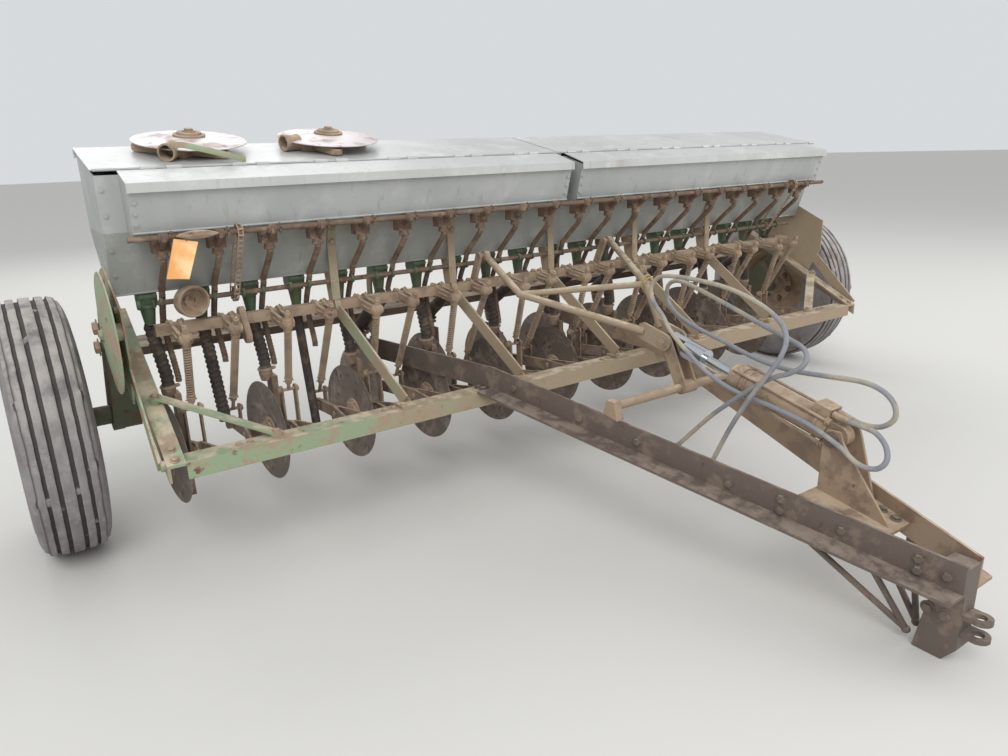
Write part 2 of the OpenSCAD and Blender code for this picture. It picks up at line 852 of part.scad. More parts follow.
// Pressure rods: a clamp that swings in the arm's end, the rod through it and the spring round the rod
front_foot = [120, 445];
rear_foot = [262, 372];
rod_gap = 16;
spring_d = 26;
spring_share = 0.8;
module pressure_rod(i, foot) {
  t = trunnion(i);
  v = (foot - t) / norm(foot - t);
  top = t - 44 * v;
  start = t + 27 * v;
  low = foot - rod_gap * v;
  union() {
    rod([row_x(i), top[0], top[1]], [row_x(i), low[0], low[1]], 12, $fn = 12);
    rod([row_x(i), top[0], top[1]], [row_x(i), top[0] + 16 * v[0], top[1] + 16 * v[1]], 20, $fn = 6);
    x_pin(row_x(i) - 18, row_x(i) + 18, t[0], t[1], 12, $fn = 16);
    x_pin(row_x(i) - 7, row_x(i) + 7, t[0], t[1], 38, $fn = 20);
    from_to([row_x(i), start[0], start[1]], [row_x(i), low[0], low[1]])
      cylinder(h = spring_share * norm(low - start), d = spring_d, $fn = 14);
  }
}
module pressure_rods_front() {
  color(mud)
    for (i = front_rows)
      pressure_rod(i, front_foot);
}
module pressure_rods_rear() {
  color(mud)
    for (i = odd_rows)
      pressure_rod(i, rear_foot);
}

// Openers: a drawbar of two flat bars that meet behind the bar they swing on, a boot with the disc's
// hub, a collar for the tubes, a shoe behind the disc, and two ears for the pressure rod
fork_half = 45;
fork_y = 100;
boot_shift = -24;
boot_t = 20;
collar_shift = -44;
collar_z = disc_z + 197;
disc_shift = -46;
ear_half = 23;
function bar_z(y, disc_y) = pivot_z + (disc_z + 12 - pivot_z) * (y - pivot_y) / (disc_y - pivot_y);
module drawbar(i, end, disc_y, foot) {
  x = row_x(i);
  zf = bar_z(fork_y, disc_y);
  for (s = [-1, 1]) {
    strip([x + s * fork_half, pivot_y, pivot_z], [x + s * 7, fork_y, zf], 8, 40);
    x_pin(x + s * fork_half - 10, x + s * fork_half + 10, pivot_y, pivot_z, 36, $fn = 24);
    link_bar(x + s * ear_half - 3, x + s * ear_half + 3, [foot[0], bar_z(foot[0], disc_y)], foot + [0, 12], 30, $fn = 20);
  }
  strip([x, fork_y - 14, zf], [x + end[0], end[1], bar_z(end[1], disc_y)], 14, 40);
  translate([x - ear_half - 3, foot[0] - 16, bar_z(foot[0], disc_y) - 12])
    cube([2 * ear_half + 6, 32, 24]);
}
module boot(i, disc_y) {
  x = row_x(i) + boot_shift;
  along_x(x - boot_t / 2, x + boot_t / 2)
    translate([disc_y, disc_z])
      polygon([
        [-40, 30], [-34, -20], [-6, -60], [-14, -158], [26, -150], [60, -96], [66, -10],
        [40, 60], [34, 120], [30, 190], [-26, 190], [-26, 110]
      ]);
  translate([row_x(i) + disc_shift, disc_y, disc_z])
    rotate([0, 90, disc_yaw])
      cylinder(h = 26, d = 92, $fn = 32);
  translate([row_x(i) + collar_shift, disc_y, collar_z - 22])
    cylinder(h = 22, d1 = 34, d2 = 44, $fn = 24);
  translate([row_x(i) + collar_shift, disc_y, collar_z])
    cylinder(h = 22, d = 44, $fn = 24);
}
module opener(i, disc_y, foot) {
  difference() {
    union() {
      drawbar(i, [boot_shift, disc_y - 20], disc_y, foot);
      boot(i, disc_y);
    }
    x_pin(row_x(i) - 60, row_x(i) + 60, pivot_y, pivot_z, pivot_d + 2 * run);
  }
}
module openers_front() {
  color(dark)
    for (i = front_rows)
      opener(i, front_row_y, front_foot);
}
module openers_rear() {
  color(dark)
    union() {
      for (i = rear_rows)
        opener(i, rear_row_y, rear_foot);
      for (i = bare_rows)
        difference() {
          drawbar(i, [0, rear_foot[0] + 24], rear_row_y, rear_foot);
          x_pin(row_x(i) - 60, row_x(i) + 60, pivot_y, pivot_z, pivot_d + 2 * run);
        }
    }
}

// Discs, dished towards the boots' side and turned a little from straight ahead
dish = 16;
module disc_at(x, y, z) {
  translate([x, y, z])
    rotate([0, 0, disc_yaw])
      rotate([0, -90, 0])
        rotate_extrude($fn = 40)
          polygon([[0, 0], [60, 0], [disc_r, dish], [disc_r, dish + 2], [60, 4], [0, 4]]);
}
module discs_front() {
  color(rust)
    for (i = front_rows)
      disc_at(row_x(i) + disc_shift - seat, front_row_y, disc_z);
}
module discs_rear() {
  color(rust)
    for (i = rear_rows)
      disc_at(row_x(i) + disc_shift - seat, rear_row_y, disc_z);
}

// Tubes from the cups and feeds down to the openers
seed_tube_d = 40;
smooth_tube_d = 30;
fert_tube_d = 20;
bare_low_z = [370, 265];
bare_fert_z = floor_z - 262;
module seed_tube(i, disc_y) {
  x = row_x(i);
  top = cup_low_z - seat;
  low = collar_z + 22 + seat;
  swept([
    [x + cup_shift, cup_y, top], [x + cup_shift, cup_y, top - 18],
    [x + collar_shift, disc_y, low + 34], [x + collar_shift, disc_y, low]
  ], seed_tube_d, 14);
}
// Tube that hangs free from its cup, where the opener is off
module free_tube(i, low_z, d) {
  x = row_x(i) + cup_shift;
  swept([[x, cup_y, cup_low_z - seat], [x, cup_y, cup_low_z - 40], [x + 34, cup_y - 8, low_z]], d, 14);
}
module seed_tubes_front() {
  color("#3c3431")
    for (i = front_rows)
      seed_tube(i, front_row_y);
}
module seed_tubes_rear() {
  color("#3c3431")
    union() {
      for (i = rear_rows)
        seed_tube(i, rear_row_y);
      free_tube(bare_rows[0], bare_low_z[0], seed_tube_d);
      free_tube(bare_rows[1], bare_low_z[1], smooth_tube_d);
    }
}

// Fertiliser tube: from the feed over the rockshaft, and behind it down beside the collar
fert_over = [168, 808];
fert_behind = [222, 712];
module fertiliser_tube(i, disc_y, low_z) {
  x = row_x(i) + feed_shift;
  top = feed_top_z - feed_h - 16 - seat;
  swept([
    [x, feed_y - 8, top], [x, feed_y - 8, top - 14], [x, fert_over[0] - 14, fert_over[1] + 24],
    [x, fert_over[0], fert_over[1]], [x, fert_behind[0] - 4, fert_behind[1] + 16],
    [x, fert_behind[0], fert_behind[1] - 16], [x + 14, disc_y + 12, low_z + 24], [x + 14, disc_y + 12, low_z]
  ], fert_tube_d);
}
module fertiliser_tubes_front() {
  color(rust)
    for (i = front_rows)
      fertiliser_tube(i, front_row_y, collar_z + 24);
}
module fertiliser_tubes_rear() {
  color(rust)
    union() {
      for (i = rear_rows)
        fertiliser_tube(i, rear_row_y, collar_z + 24);
      for (i = bare_rows)
        fertiliser_tube(i, cup_y, bare_fert_z);
    }
}

// Lift linkage
lever_pivot = [-667, 446];
lever_pin = [-596, 585];
module lift_lever() {
  color(mud)
    difference() {
      union() {
        for (s = [-1, 1])
          link_bar(lift_x + s * 24 - 4, lift_x + s * 24 + 4, lever_pivot, lever_pin, 44);
        x_pin(lift_x - 28, lift_x + 28, lever_pivot[0], lever_pivot[1], 44);
        x_pin(lift_x - 48, lift_x + 48, lever_pin[0], lever_pin[1], 24);
      }
      x_pin(lift_x - 60, lift_x + 60, lever_pivot[0], lever_pivot[1], 28 + 2 * run);
    }
}
knee = [-100, 700];
crown = [-45, -415, 738];
module lift_yoke() {
  h = [shaft_y, shaft_z] + horn;
  tail = lever_pin + [86, 20];
  left = horn_xs[0] + 30;
  right = horn_xs[1] + 30;
  forks = [lift_x - 38, lift_x + 38];
  color(green)
    difference() {
      union() {
        for (x = [left, right])
          x_pin(x - 10, x + 10, h[0], h[1], 34);
        for (a = forks)
          link_bar(a - 4, a + 4, lever_pin, tail, 58);
        rod([left, h[0] - 12, h[1] - 7], [left, knee[0], knee[1]], 25);
        rod([left, knee[0], knee[1]], [forks[0], tail[0], tail[1]], 25);
        rod([left, knee[0], knee[1]], crown, 22);
        rod([right, h[0] - 12, h[1] - 4], crown, 25);
        rod(crown, [forks[1], tail[0], tail[1]], 25);
        translate([left, knee[0], knee[1]])
          sphere(d = 28);
        translate(crown)
          sphere(d = 30);
      }
      for (x = horn_xs)
        x_pin(x + 10, x + 50, h[0], h[1], 16 + 2 * run);
      x_pin(lift_x - 60, lift_x + 60, lever_pin[0], lever_pin[1], 40);
    }
}
barrel_pivot = [-1209, 441];
function beam_half(y) = 30 + (tongue_half - 30) * (y - tongue_end_y) / (front_y - tongue_end_y);
function beam_top(y) = tongue_end_z + (front_z + tongue_web - tongue_end_z) * (y - tongue_end_y) / (front_y - tongue_end_y);
module cylinder_bracket() {
  y0 = barrel_pivot[0] - 190;
  y1 = barrel_pivot[0] + 36;
  slope = atan2(beam_top(y1) - beam_top(y0), y1 - y0);
  l = (y1 - y0) / cos(slope);
  base = beam_top(y0) - 50;
  function base_top(y) = base + 12 + (y - y0) * tan(slope);
  b = beam_half(lever_pivot[0]);
  color(mud)
    union() {
      translate([tongue_x, y0, base])
        rotate([slope, 0, 0])
          linear_extrude(height = 10)
            polygon([
              [2 * seat - beam_half(y0), 0], [beam_half(y0) - 2 * seat, 0],
              [beam_half(y1) - 2 * seat, l], [2 * seat - beam_half(y1), l]
            ]);
      for (s = [-1, 1]) {
        front = barrel_pivot[0] - (s < 0 ? 182 : 88);
        along_x(lift_x + s * 41 - 4, lift_x + s * 41 + 4)
          polygon([
            [front, base_top(front) - 9], [y1 - 8, base_top(y1) - 20], [barrel_pivot[0] + 24, barrel_pivot[1]],
            [barrel_pivot[0] + 16, barrel_pivot[1] + 22], [barrel_pivot[0] - 22, barrel_pivot[1] + 24],
            [barrel_pivot[0] - 34, barrel_pivot[1] - 6]
          ]);
      }
      x_pin(lift_x - 50, lift_x + 50, barrel_pivot[0], barrel_pivot[1], 26);
      x_pin(tongue_x - b, tongue_x + b, lever_pivot[0], lever_pivot[1], 28);
      for (s = [-1, 1])
        along_x(tongue_x + s * (b - 4) - 14, tongue_x + s * (b - 4) + 14)
          polygon([
            [lever_pivot[0] - 30, beam_top(lever_pivot[0] - 30) + seat],
            [lever_pivot[0] + 30, beam_top(lever_pivot[0] + 30) + seat],
            [lever_pivot[0] + 16, lever_pivot[1] + 18], [lever_pivot[0] - 16, lever_pivot[1] + 18]
          ]);
    }
}
stroke_line = lever_pin - barrel_pivot;
stroke_v = stroke_line / norm(stroke_line);
function along_yz(d) = barrel_pivot + d * stroke_v;
function along(d) = concat([lift_x], along_yz(d));
barrel_l = 356;
stroke_in = 84;
port_d = [36, 50];
port_z = 48;
clevis = [480, 560];
module cylinder_barrel() {
  color(mud)
    difference() {
      union() {
        rod(along(30), along(barrel_l), barrel_d);
        rod(along(barrel_l - 34), along(barrel_l + 6), barrel_d + 6);
        link_bar(lift_x - 16, lift_x + 16, barrel_pivot, barrel_pivot + 50 * stroke_v, 56);
        along_x(lift_x - 26, lift_x + 26)
          translate(barrel_pivot)
            rotate(atan2(stroke_v[1], stroke_v[0]))
              translate([port_d[0], 0])
                square([port_d[1], port_z + 14]);
      }
      x_pin(lift_x - 60, lift_x + 60, barrel_pivot[0], barrel_pivot[1], 26 + 2 * run);
      rod(along(260 - stroke_in), along(barrel_l + 8), chrome_d + 2 * run);
    }
}
module cylinder_rod() {
  l = norm(stroke_line);
  color("silver")
    difference() {
      union() {
        rod(along(270), along(clevis[0] + 4), chrome_d);
        rod(along(clevis[0]), along(clevis[1]), 62);
        link_bar(lift_x - 14, lift_x + 14, along_yz(clevis[1] - 10), along_yz(l), 54);
      }
      x_pin(lift_x - 20, lift_x + 20, lever_pin[0], lever_pin[1], 36);
    }
}

// Hoses, each one polyhedron swept along its points, and the couplers on their ends
hose_d = 14;
port_left = [lift_x - 12, -1186, 496];
port_right = [lift_x + 12, -1186, 496];
hose_left_points = [
  port_left, [-117, -1222, 489], [-118, -1264, 486], [-123, -1308, 482], [-134, -1344, 460],
  [-148, -1358, 428], [-160, -1340, 404], [-165, -1295, 404], [-164, -1235, 436], [-163, -1150, 466],
  [-163, -1040, 485], [-163, -900, 500], [-163, -790, 536], [-164, -700, 592], [-160, -640, 634],
  [-138, -586, 668], [-112, -530, 688], [-96, -492, 714], [-90, -488, 750], [-88, -522, 780],
  [-86, -590, 788], [-84, -690, 786], [-88, -805, 776], [-104, -926, 750], [-130, -1014, 718],
  [-160, -1058, 682], [-187, -1062, 636], [-199, -1030, 576], [-201, -976, 492], [-201, -925, 402],
  [-200, -876, 300], [-200, -842, 224]
];
hose_right_points = [
  port_right, [-93, -1222, 487], [-93, -1268, 482], [-93, -1310, 492], [-93, -1337, 522],
  [-93, -1330, 558], [-93, -1296, 584], [-93, -1240, 594], [-93, -1140, 586], [-93, -1033, 578],
  [-88, -940, 582], [-70, -850, 590], [-50, -770, 600], [-40, -690, 612], [-35, -610, 630],
  [-28, -550, 648], [-22, -506, 674], [-20, -488, 710], [-24, -500, 744], [-30, -540, 762],
  [-38, -600, 758], [-50, -690, 740], [-66, -814, 712], [-90, -936, 686], [-118, -1040, 672],
  [-146, -1108, 658], [-168, -1124, 630], [-179, -1092, 600], [-180, -1016, 560], [-180, -858, 430],
  [-180, -740, 308], [-180, -683, 246]
];
module hose_left() {
  color("#7f858e")
    swept(hose_left_points, hose_d);
}
module hose_right() {
  color("#7f858e")
    swept(hose_right_points, hose_d);
}
module hose_couplers() {
  color("silver")
    for (pts = [hose_left_points, hose_right_points]) {
      end = pts[len(pts) - 1];
      v = heading(pts, len(pts) - 1);
      rod(end + seat * v, end + 36 * v, 25, $fn = 6);
      rod(end + 35 * v, end + 78 * v, 18, $fn = 16);
    }
}

// The two openers that were taken off, laid on the left grain lid with the disc up
loose_xs = [-box_half + 311, -box_half + 767];
loose_turn = [-34, -73];
loose_y = 229;
loose_disc_z = 30;
loose_boot_h = 26;
module loose_opener() {
  shaft_end = disc_r - 12;
  difference() {
    union() {
      translate([0, 0, loose_disc_z])
        rotate_extrude($fn = 40)
          polygon([
            [0, 12], [60, 12], [disc_r, 0], [disc_r, 3], [60, 15], [48, 15], [48, 21], [37, 21],
            [37, 28], [14, 28], [14, 38], [0, 38]
          ]);
      translate([0, 0, 6])
        cylinder(h = loose_disc_z + 8, d = 84, $fn = 28);
      linear_extrude(height = loose_boot_h)
        polygon([
          [-44, -30], [-30, -132], [30, -132], [44, -30], [40, 60], [24, shaft_end - 8],
          [-20, shaft_end], [-44, 70]
        ]);
      strip([-150, -60, loose_boot_h / 2], [150, -85, loose_boot_h / 2], 40, loose_boot_h - 4);
      translate([0, -128, loose_boot_h])
        rotate([90, 0, 0])
          cylinder(h = 58, r = loose_boot_h, $fn = 28);
    }
    translate([0, -137, loose_boot_h])
      rotate([90, 0, 0])
        cylinder(h = 60, r = loose_boot_h - 5, $fn = 28);
  }
}
module loose_openers() {
  color(mud)
    for (k = [0, 1])
      translate([loose_xs[k], ridge_y, ridge_z])
        rotate([lid_angle, 0, 0])
          translate([0, loose_y, seat])
            rotate(loose_turn[k])
              loose_opener();
}

placed() grain_box();
placed() fertiliser_hoppers();
placed() ridge_rod();
placed() end_braces();
placed() footboard();
placed() front_member();
placed() side_members();
placed() corner_braces();
placed() rear_hangers();
placed() shaft_supports();
placed() drawbar_rod();
placed() tongue_left();
placed() tongue_right();
placed() cylinder_bracket();
placed() hitch_bracket();
placed() hitch_straps();
placed() hitch_braces();
placed() wheel_arms();
placed() wheel_shield();
placed() seed_cups();
placed() fertiliser_feeds();
placed() feed_shaft();
placed() seed_shaft();
placed() drive_chains();
placed() tyre_left();
placed() rim_left();
placed() tyre_right();
placed() rim_right();
placed() grain_lid_left();
placed() grain_lid_right();
placed() fertiliser_lid_left();
placed() fertiliser_lid_right();
placed() rockshaft();
placed() pressure_rods_front();
placed() pressure_rods_rear();
placed() openers_front();
placed() discs_front();
placed() openers_rear();
placed() discs_rear();
placed() seed_tubes_front();
placed() seed_tubes_rear();
placed() fertiliser_tubes_front();
placed() fertiliser_tubes_rear();
placed() lift_lever();
placed() lift_yoke();
placed() cylinder_barrel();
placed() cylinder_rod();
placed() hose_left();
placed() hose_right();
placed() hose_couplers();
placed() loose_openers();
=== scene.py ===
# Looks of the seed drill: materials, fine pieces, hoses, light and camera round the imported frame.
# Stations are in millimetres as in the part's source: X along the grain box, -Y the way the drill
# is pulled, measured from the front of the fertiliser hoppers, and Z up. A piece is turned to metres
# in the record's frame when its mesh is made.
import json

import bpy
import numpy as np
from mathutils import Matrix


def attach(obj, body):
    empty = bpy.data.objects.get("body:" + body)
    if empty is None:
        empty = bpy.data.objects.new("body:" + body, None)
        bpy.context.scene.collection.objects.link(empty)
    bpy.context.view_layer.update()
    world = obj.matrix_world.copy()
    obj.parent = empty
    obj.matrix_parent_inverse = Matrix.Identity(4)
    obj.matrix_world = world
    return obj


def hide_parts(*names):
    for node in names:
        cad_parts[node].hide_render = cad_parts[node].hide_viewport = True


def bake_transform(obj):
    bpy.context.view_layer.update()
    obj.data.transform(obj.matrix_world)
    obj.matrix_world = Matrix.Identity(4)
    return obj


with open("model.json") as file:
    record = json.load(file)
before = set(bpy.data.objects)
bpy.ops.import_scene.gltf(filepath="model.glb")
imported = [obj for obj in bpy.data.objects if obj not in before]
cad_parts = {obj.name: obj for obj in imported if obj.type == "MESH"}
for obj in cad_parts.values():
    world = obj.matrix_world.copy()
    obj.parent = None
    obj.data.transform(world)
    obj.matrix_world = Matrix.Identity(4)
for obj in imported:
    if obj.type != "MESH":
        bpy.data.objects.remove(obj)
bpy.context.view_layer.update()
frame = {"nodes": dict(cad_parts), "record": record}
nodes = frame["nodes"]

# Driving sizes, as in the part's source
ROWS = 20
PITCH = 152.4
MID_Y = -420.0
BOX_HALF = 1602.8
HOPPER_HALF = 1540.8
WALL_Y = 118.0
WALL_LEAN = 58.0 / 182.0
FLOOR_Y = 176.0
FLOOR_Z = 822.0
FRONT_Y = -203.0
FRONT_Z = 410.0
TONGUE_X = -160.0
TONGUE_HALF = 380.0
TONGUE_END_Y = -1595.0
TONGUE_END_Z = 262.0
TONGUE_WEB = 80.0
TONGUE_T = 8.0
SHAFT = np.array([165.0, 705.0])
LONG_ARM = 122.0
SHORT_ARM = 93.0
ARM_DROP = np.radians(6.0)
DISC_R = 170.0
DISC_Z = 305.0
FRONT_ROW_Y = 200.0
REAR_ROW_Y = 455.0
COLLAR_Z = DISC_Z + 197.0
WHEEL_X = 1816.0
AXLE = np.array([405.0, 405.0])
TYRE_R = 405.0
TYRE_HALF = 105.0
RIM_R = 203.0
LIFT_X = -105.0
BARE_ROWS = (1, 3)

# Smaller sizes and places; a shift is along X, from the middle of a row
WALL_BEND_Z = 1004.0
LID_SLOPE = np.arctan2(62.0, 304.0)
DISC_YAW = np.radians(6.0)
GUARD_R = 170.0
FLAT_COVER_X = -1382.0
STRAPPED_X = -BOX_HALF + 311.0
CUP_SHIFT = -62.0
FEED_SHIFT = -23.0
COLLAR_SHIFT = -44.0
DISC_SHIFT = -46.0

# Lines along X, each by its station and height
RIDGE = (112.0, 1174.0)
FEED_SHAFT = (14.0, 990.0)
SEED_SHAFT = (156.0, 788.0)
GUARD = (45.0, 740.0)
BAR_ROD = (-150.0, 370.0)
FRONT_FOOT = (120.0, 445.0)
REAR_FOOT = (262.0, 372.0)
LEVER_PIVOT = (-667.0, 446.0)
LEVER_PIN = (-596.0, 585.0)
BARREL_PIVOT = (-1209.0, 441.0)


def at(points):
    """Stations in millimetres, as metres in the frame of the record."""
    p = np.array(points, float) / 1000.0
    p[..., 1] -= MID_Y / 1000.0
    return p


def row_x(i):
    return (i - (ROWS - 1) / 2) * PITCH


def wall_y(z):
    """Station of the grain box's front wall at height z."""
    return WALL_Y + WALL_LEAN * np.maximum(WALL_BEND_Z - z, 0)


def beam_half(y):
    """Half width of the tongue at station y, ahead of the front member."""
    return 30 + (TONGUE_HALF - 30) * (y - TONGUE_END_Y) / (FRONT_Y - TONGUE_END_Y)


def beam_top(y):
    """Height of the tongue's top edge at station y."""
    rise = FRONT_Z + TONGUE_WEB - TONGUE_END_Z
    return TONGUE_END_Z + rise * (y - TONGUE_END_Y) / (FRONT_Y - TONGUE_END_Y)


# Camera at the photograph's viewing angle
def add_camera():
    cam = bpy.data.cameras.new("camera")
    cam.sensor_width = 36.0
    cam.lens = 26.88
    cam.clip_start = 0.05
    cam.clip_end = 100.0
    obj = bpy.data.objects.new("camera", cam)
    bpy.context.scene.collection.objects.link(obj)
    forward = np.array([0.53247, 0.79495, -0.29074])
    right = np.array([0.82494, -0.56431, -0.03212])
    up = np.cross(right, forward)
    place = at((-1873, -2254, 1193))
    obj.matrix_world = Matrix([[right[k], up[k], -forward[k], place[k]] for k in range(3)] + [[0, 0, 0, 1]])
    bpy.context.scene.camera = obj


add_camera()


# Colours and node helpers
def linear(code):
    """Linear colour of an sRGB hex code."""
    values = [int(code[k:k + 2], 16) / 255 for k in (1, 3, 5)]
    return [v / 12.92 if v <= 0.04045 else ((v + 0.055) / 1.055) ** 2.4 for v in values] + [1.0]


def add(tree, kind, inputs=None, **settings):
    """Adds a node with its settings, and sets or links its inputs."""
    node = tree.nodes.new(kind)
    for name, value in settings.items():
        setattr(node, name, value)
    for name, value in (inputs or {}).items():
        socket = node.inputs[name]
        if isinstance(value, bpy.types.NodeSocket):
            tree.links.new(value, socket)
        else:
            socket.default_value = value
    return node


class Paint:
    """A material that is built up from a base colour by layers."""

    def __init__(self, name, base, rough=0.6, metal=0.0, specular=0.5):
        self.material = bpy.data.materials.new(name)
        self.material.use_nodes = True
        self.tree = self.material.node_tree
        self.shader = self.tree.nodes["Principled BSDF"]
        self.place = add(self.tree, "ShaderNodeTexCoord").outputs["Object"]
        self.colour = linear(base)
        self.rough = rough
        self.height = None
        self.shader.inputs["Metallic"].default_value = metal
        self.shader.inputs["Specular IOR Level"].default_value = specular

    def noise(self, scale, detail=6.0, rough=0.6, stretch=(1, 1, 1), warp=0.0):
        """Noise with about scale grains to a metre, times stretch along each axis."""
        vector = self.place
        if stretch != (1, 1, 1):
            vector = add(self.tree, "ShaderNodeMapping", {"Vector": self.place, "Scale": stretch}).outputs[0]
        return add(self.tree, "ShaderNodeTexNoise", {
            "Vector": vector, "Scale": scale, "Detail": detail,
            "Roughness": rough, "Distortion": warp}).outputs["Fac"]

    def window(self, value, low, high):
        """0 below low, 1 above high, and smooth between them."""
        return add(self.tree, "ShaderNodeMapRange", {
            "Value": value, "From Min": low, "From Max": high}, interpolation_type="SMOOTHSTEP").outputs[0]

    def patches(self, scale, low, high, **look):
        """Noise through a window: 1 in its patches and 0 between them."""
        return self.window(self.noise(scale, **look), low, high)

    def times(self, a, b):
        return add(self.tree, "ShaderNodeMath", {0: a, 1: b}, operation="MULTIPLY").outputs[0]

    def upward(self, low=0.3, high=0.9):
        """1 where the surface faces up."""
        normal = add(self.tree, "ShaderNodeNewGeometry").outputs["Normal"]
        z = add(self.tree, "ShaderNodeSeparateXYZ", {0: normal}).outputs["Z"]
        return self.window(z, low, high)

    def height_of(self, low, high):
        """0 at a height of low metres above the ground, 1 at high."""
        z = add(self.tree, "ShaderNodeSeparateXYZ", {0: self.place}).outputs["Z"]
        return self.window(z, low, high)

    def round_axle(self, low, high):
        """0 at a distance of low metres from the axle's line, 1 at high."""
        split = add(self.tree, "ShaderNodeSeparateXYZ", {0: self.place})
        centre = ((AXLE[0] - MID_Y) / 1000, AXLE[1] / 1000)
        across, up = (add(self.tree, "ShaderNodeMath", {0: split.outputs[axis], 1: middle},
                          operation="SUBTRACT").outputs[0] for axis, middle in zip("YZ", centre))
        squares = {0: self.times(across, across), 1: self.times(up, up)}
        both = add(self.tree, "ShaderNodeMath", squares).outputs[0]
        far = add(self.tree, "ShaderNodeMath", {0: both}, operation="SQRT").outputs[0]
        return self.window(far, low, high)

    def coat(self, colour, mask, rough=None):
        """Lays a colour over the surface where mask is 1."""
        inputs = {0: mask, 6: self.colour, 7: linear(colour)}
        self.colour = add(self.tree, "ShaderNodeMix", inputs, data_type="RGBA").outputs[2]
        if rough is not None:
            inputs = {0: mask, 2: self.rough, 3: rough}
            self.rough = add(self.tree, "ShaderNodeMix", inputs, data_type="FLOAT").outputs[0]
        return self

    def bump(self, value, depth):
        """Raises the surface by depth metres where value is 1."""
        scaled = self.times(value, depth)
        if self.height is None:
            self.height = scaled
        else:
            self.height = add(self.tree, "ShaderNodeMath", {0: self.height, 1: scaled}).outputs[0]
        return self

    def done(self):
        for value, name in ((self.colour, "Base Color"), (self.rough, "Roughness")):
            if isinstance(value, bpy.types.NodeSocket):
                self.tree.links.new(value, self.shader.inputs[name])
            else:
                self.shader.inputs[name].default_value = value
        if self.height is not None:
            lift = add(self.tree, "ShaderNodeBump", {"Height": self.height, "Distance": 1.0, "Strength": 1.0})
            self.tree.links.new(lift.outputs[0], self.shader.inputs["Normal"])
        return self.material


# Materials, each named for what the real one is; painted light and shade in them is marked where it is laid
def galvanised(name, base, dark, light, rough=0.5, low=None):
    """Zinc-coated sheet: a dull grey with cloudy patches, water runs and few rust points; with low given,
    everything below 1 m gets that darker grey as painted shade.
    """
    p = Paint(name, base, rough=rough, metal=0.2)
    if low is not None:
        # Painted shade: below 1 m, where the box wall lies in under the hoppers, the sheet is laid in the
        # darker low grey.
        p.coat(low, p.window(p.height_of(1.000, 1.004), 1.0, 0.0))
    p.coat(dark, p.times(p.patches(2.4, 0.40, 0.68, stretch=(1, 1, 0.35)), 0.6))
    p.coat(light, p.times(p.patches(9, 0.50, 0.72, detail=8), 0.5))
    p.coat("#84857f", p.times(p.patches(46, 0.56, 0.72, stretch=(1, 1, 0.12)), 0.35))
    p.coat("#a5937c", p.times(p.patches(5.5, 0.62, 0.76, warp=0.8), 0.4), rough=0.85)
    p.coat("#7c5b41", p.times(p.patches(70, 0.70, 0.76, detail=3), 0.55), rough=0.9)
    p.bump(p.noise(3.0, detail=2), 0.003)
    p.bump(p.noise(160, detail=3), 0.0002)
    return p.done()


def muddy_paint(name, base, mud, rust="#6d4c3a", cover=0.5, dry="#b49f86", far=None):
    """Enamel or bare iron under dried mud, thickest on top, and all over past far metres along X."""
    p = Paint(name, base, rough=0.55)
    p.coat(rust, p.patches(26, 0.60, 0.68, detail=8), rough=0.85)
    if far is not None:
        x = add(p.tree, "ShaderNodeSeparateXYZ", {0: p.place}).outputs["X"]
        edge = add(p.tree, "ShaderNodeMath", {0: x, 1: p.noise(7, detail=6)}).outputs[0]
        p.coat(mud, p.times(p.window(edge, far + 0.3, far + 0.7), 0.85), rough=0.92)
    p.coat(mud, p.patches(11, 0.66 - 0.3 * cover, 0.76 - 0.3 * cover, detail=8, rough=0.7), rough=0.92)
    p.coat(dry, p.times(p.upward(), p.patches(19, 0.40, 0.62, detail=8)), rough=0.95)
    p.bump(p.noise(60, detail=6), 0.0014)
    p.bump(p.noise(260, detail=3), 0.0004)
    return p.done()


def weathered(name, base, light, dark, rough=0.85, metal=0.15):
    """Rusted steel or tube rubber: one dull colour with pale patches of dust and with dark spots."""
    p = Paint(name, base, rough=rough, metal=metal)
    p.coat(light, p.patches(14, 0.48, 0.66, detail=9, rough=0.7))
    p.coat(dark, p.patches(38, 0.56, 0.70, detail=8))
    p.bump(p.noise(150, detail=5), 0.0006)
    return p.done()


def tyre_rubber():
    """Old tyre rubber, greyed by the weather, with dried mud on it and painted shade down in its grooves."""
    p = Paint("tyre_rubber", "#787473", rough=0.85, specular=0.25)
    p.coat("#8f8b8c", p.patches(7, 0.34, 0.66, detail=8, stretch=(2.5, 1, 1)))
    p.coat("#a59f99", p.times(p.patches(28, 0.50, 0.66, detail=9, rough=0.75), 0.5), rough=0.95)
    p.coat("#b3aca6", p.times(p.upward(-0.1, 0.8), p.patches(17, 0.30, 0.62, detail=8)), rough=0.95)
    p.coat("#7b6553", p.patches(4, 0.60, 0.66, detail=8, warp=0.6), rough=0.95)
    # Painted shade: a near-black band 389.5 to 394.5 mm from the axle darkens the groove floors.
    p.coat("#423d3b", p.times(p.times(p.round_axle(0.398, 0.3945), p.round_axle(0.387, 0.3895)), 0.85))
    p.bump(p.noise(90, detail=6), 0.0012)
    p.bump(p.noise(400, detail=2), 0.0003)
    return p.done()


def chrome():
    """Hard chrome on the cylinder's rod, with a few brown spots."""
    p = Paint("chromed_steel", "#c9ccd0", rough=0.16, metal=1.0)
    p.coat("#8f7c66", p.times(p.patches(30, 0.62, 0.75), 0.6), rough=0.7)
    return p.done()


def worn_fitting():
    """Zinc-plated steel couplers, bright where they are handled."""
    p = Paint("zinc_plated_steel", "#b9b8b2", rough=0.34, metal=0.8)
    p.coat("#7d6a58", p.patches(60, 0.52, 0.66, detail=5), rough=0.8)
    p.bump(p.noise(300, detail=2), 0.0002)
    return p.done()


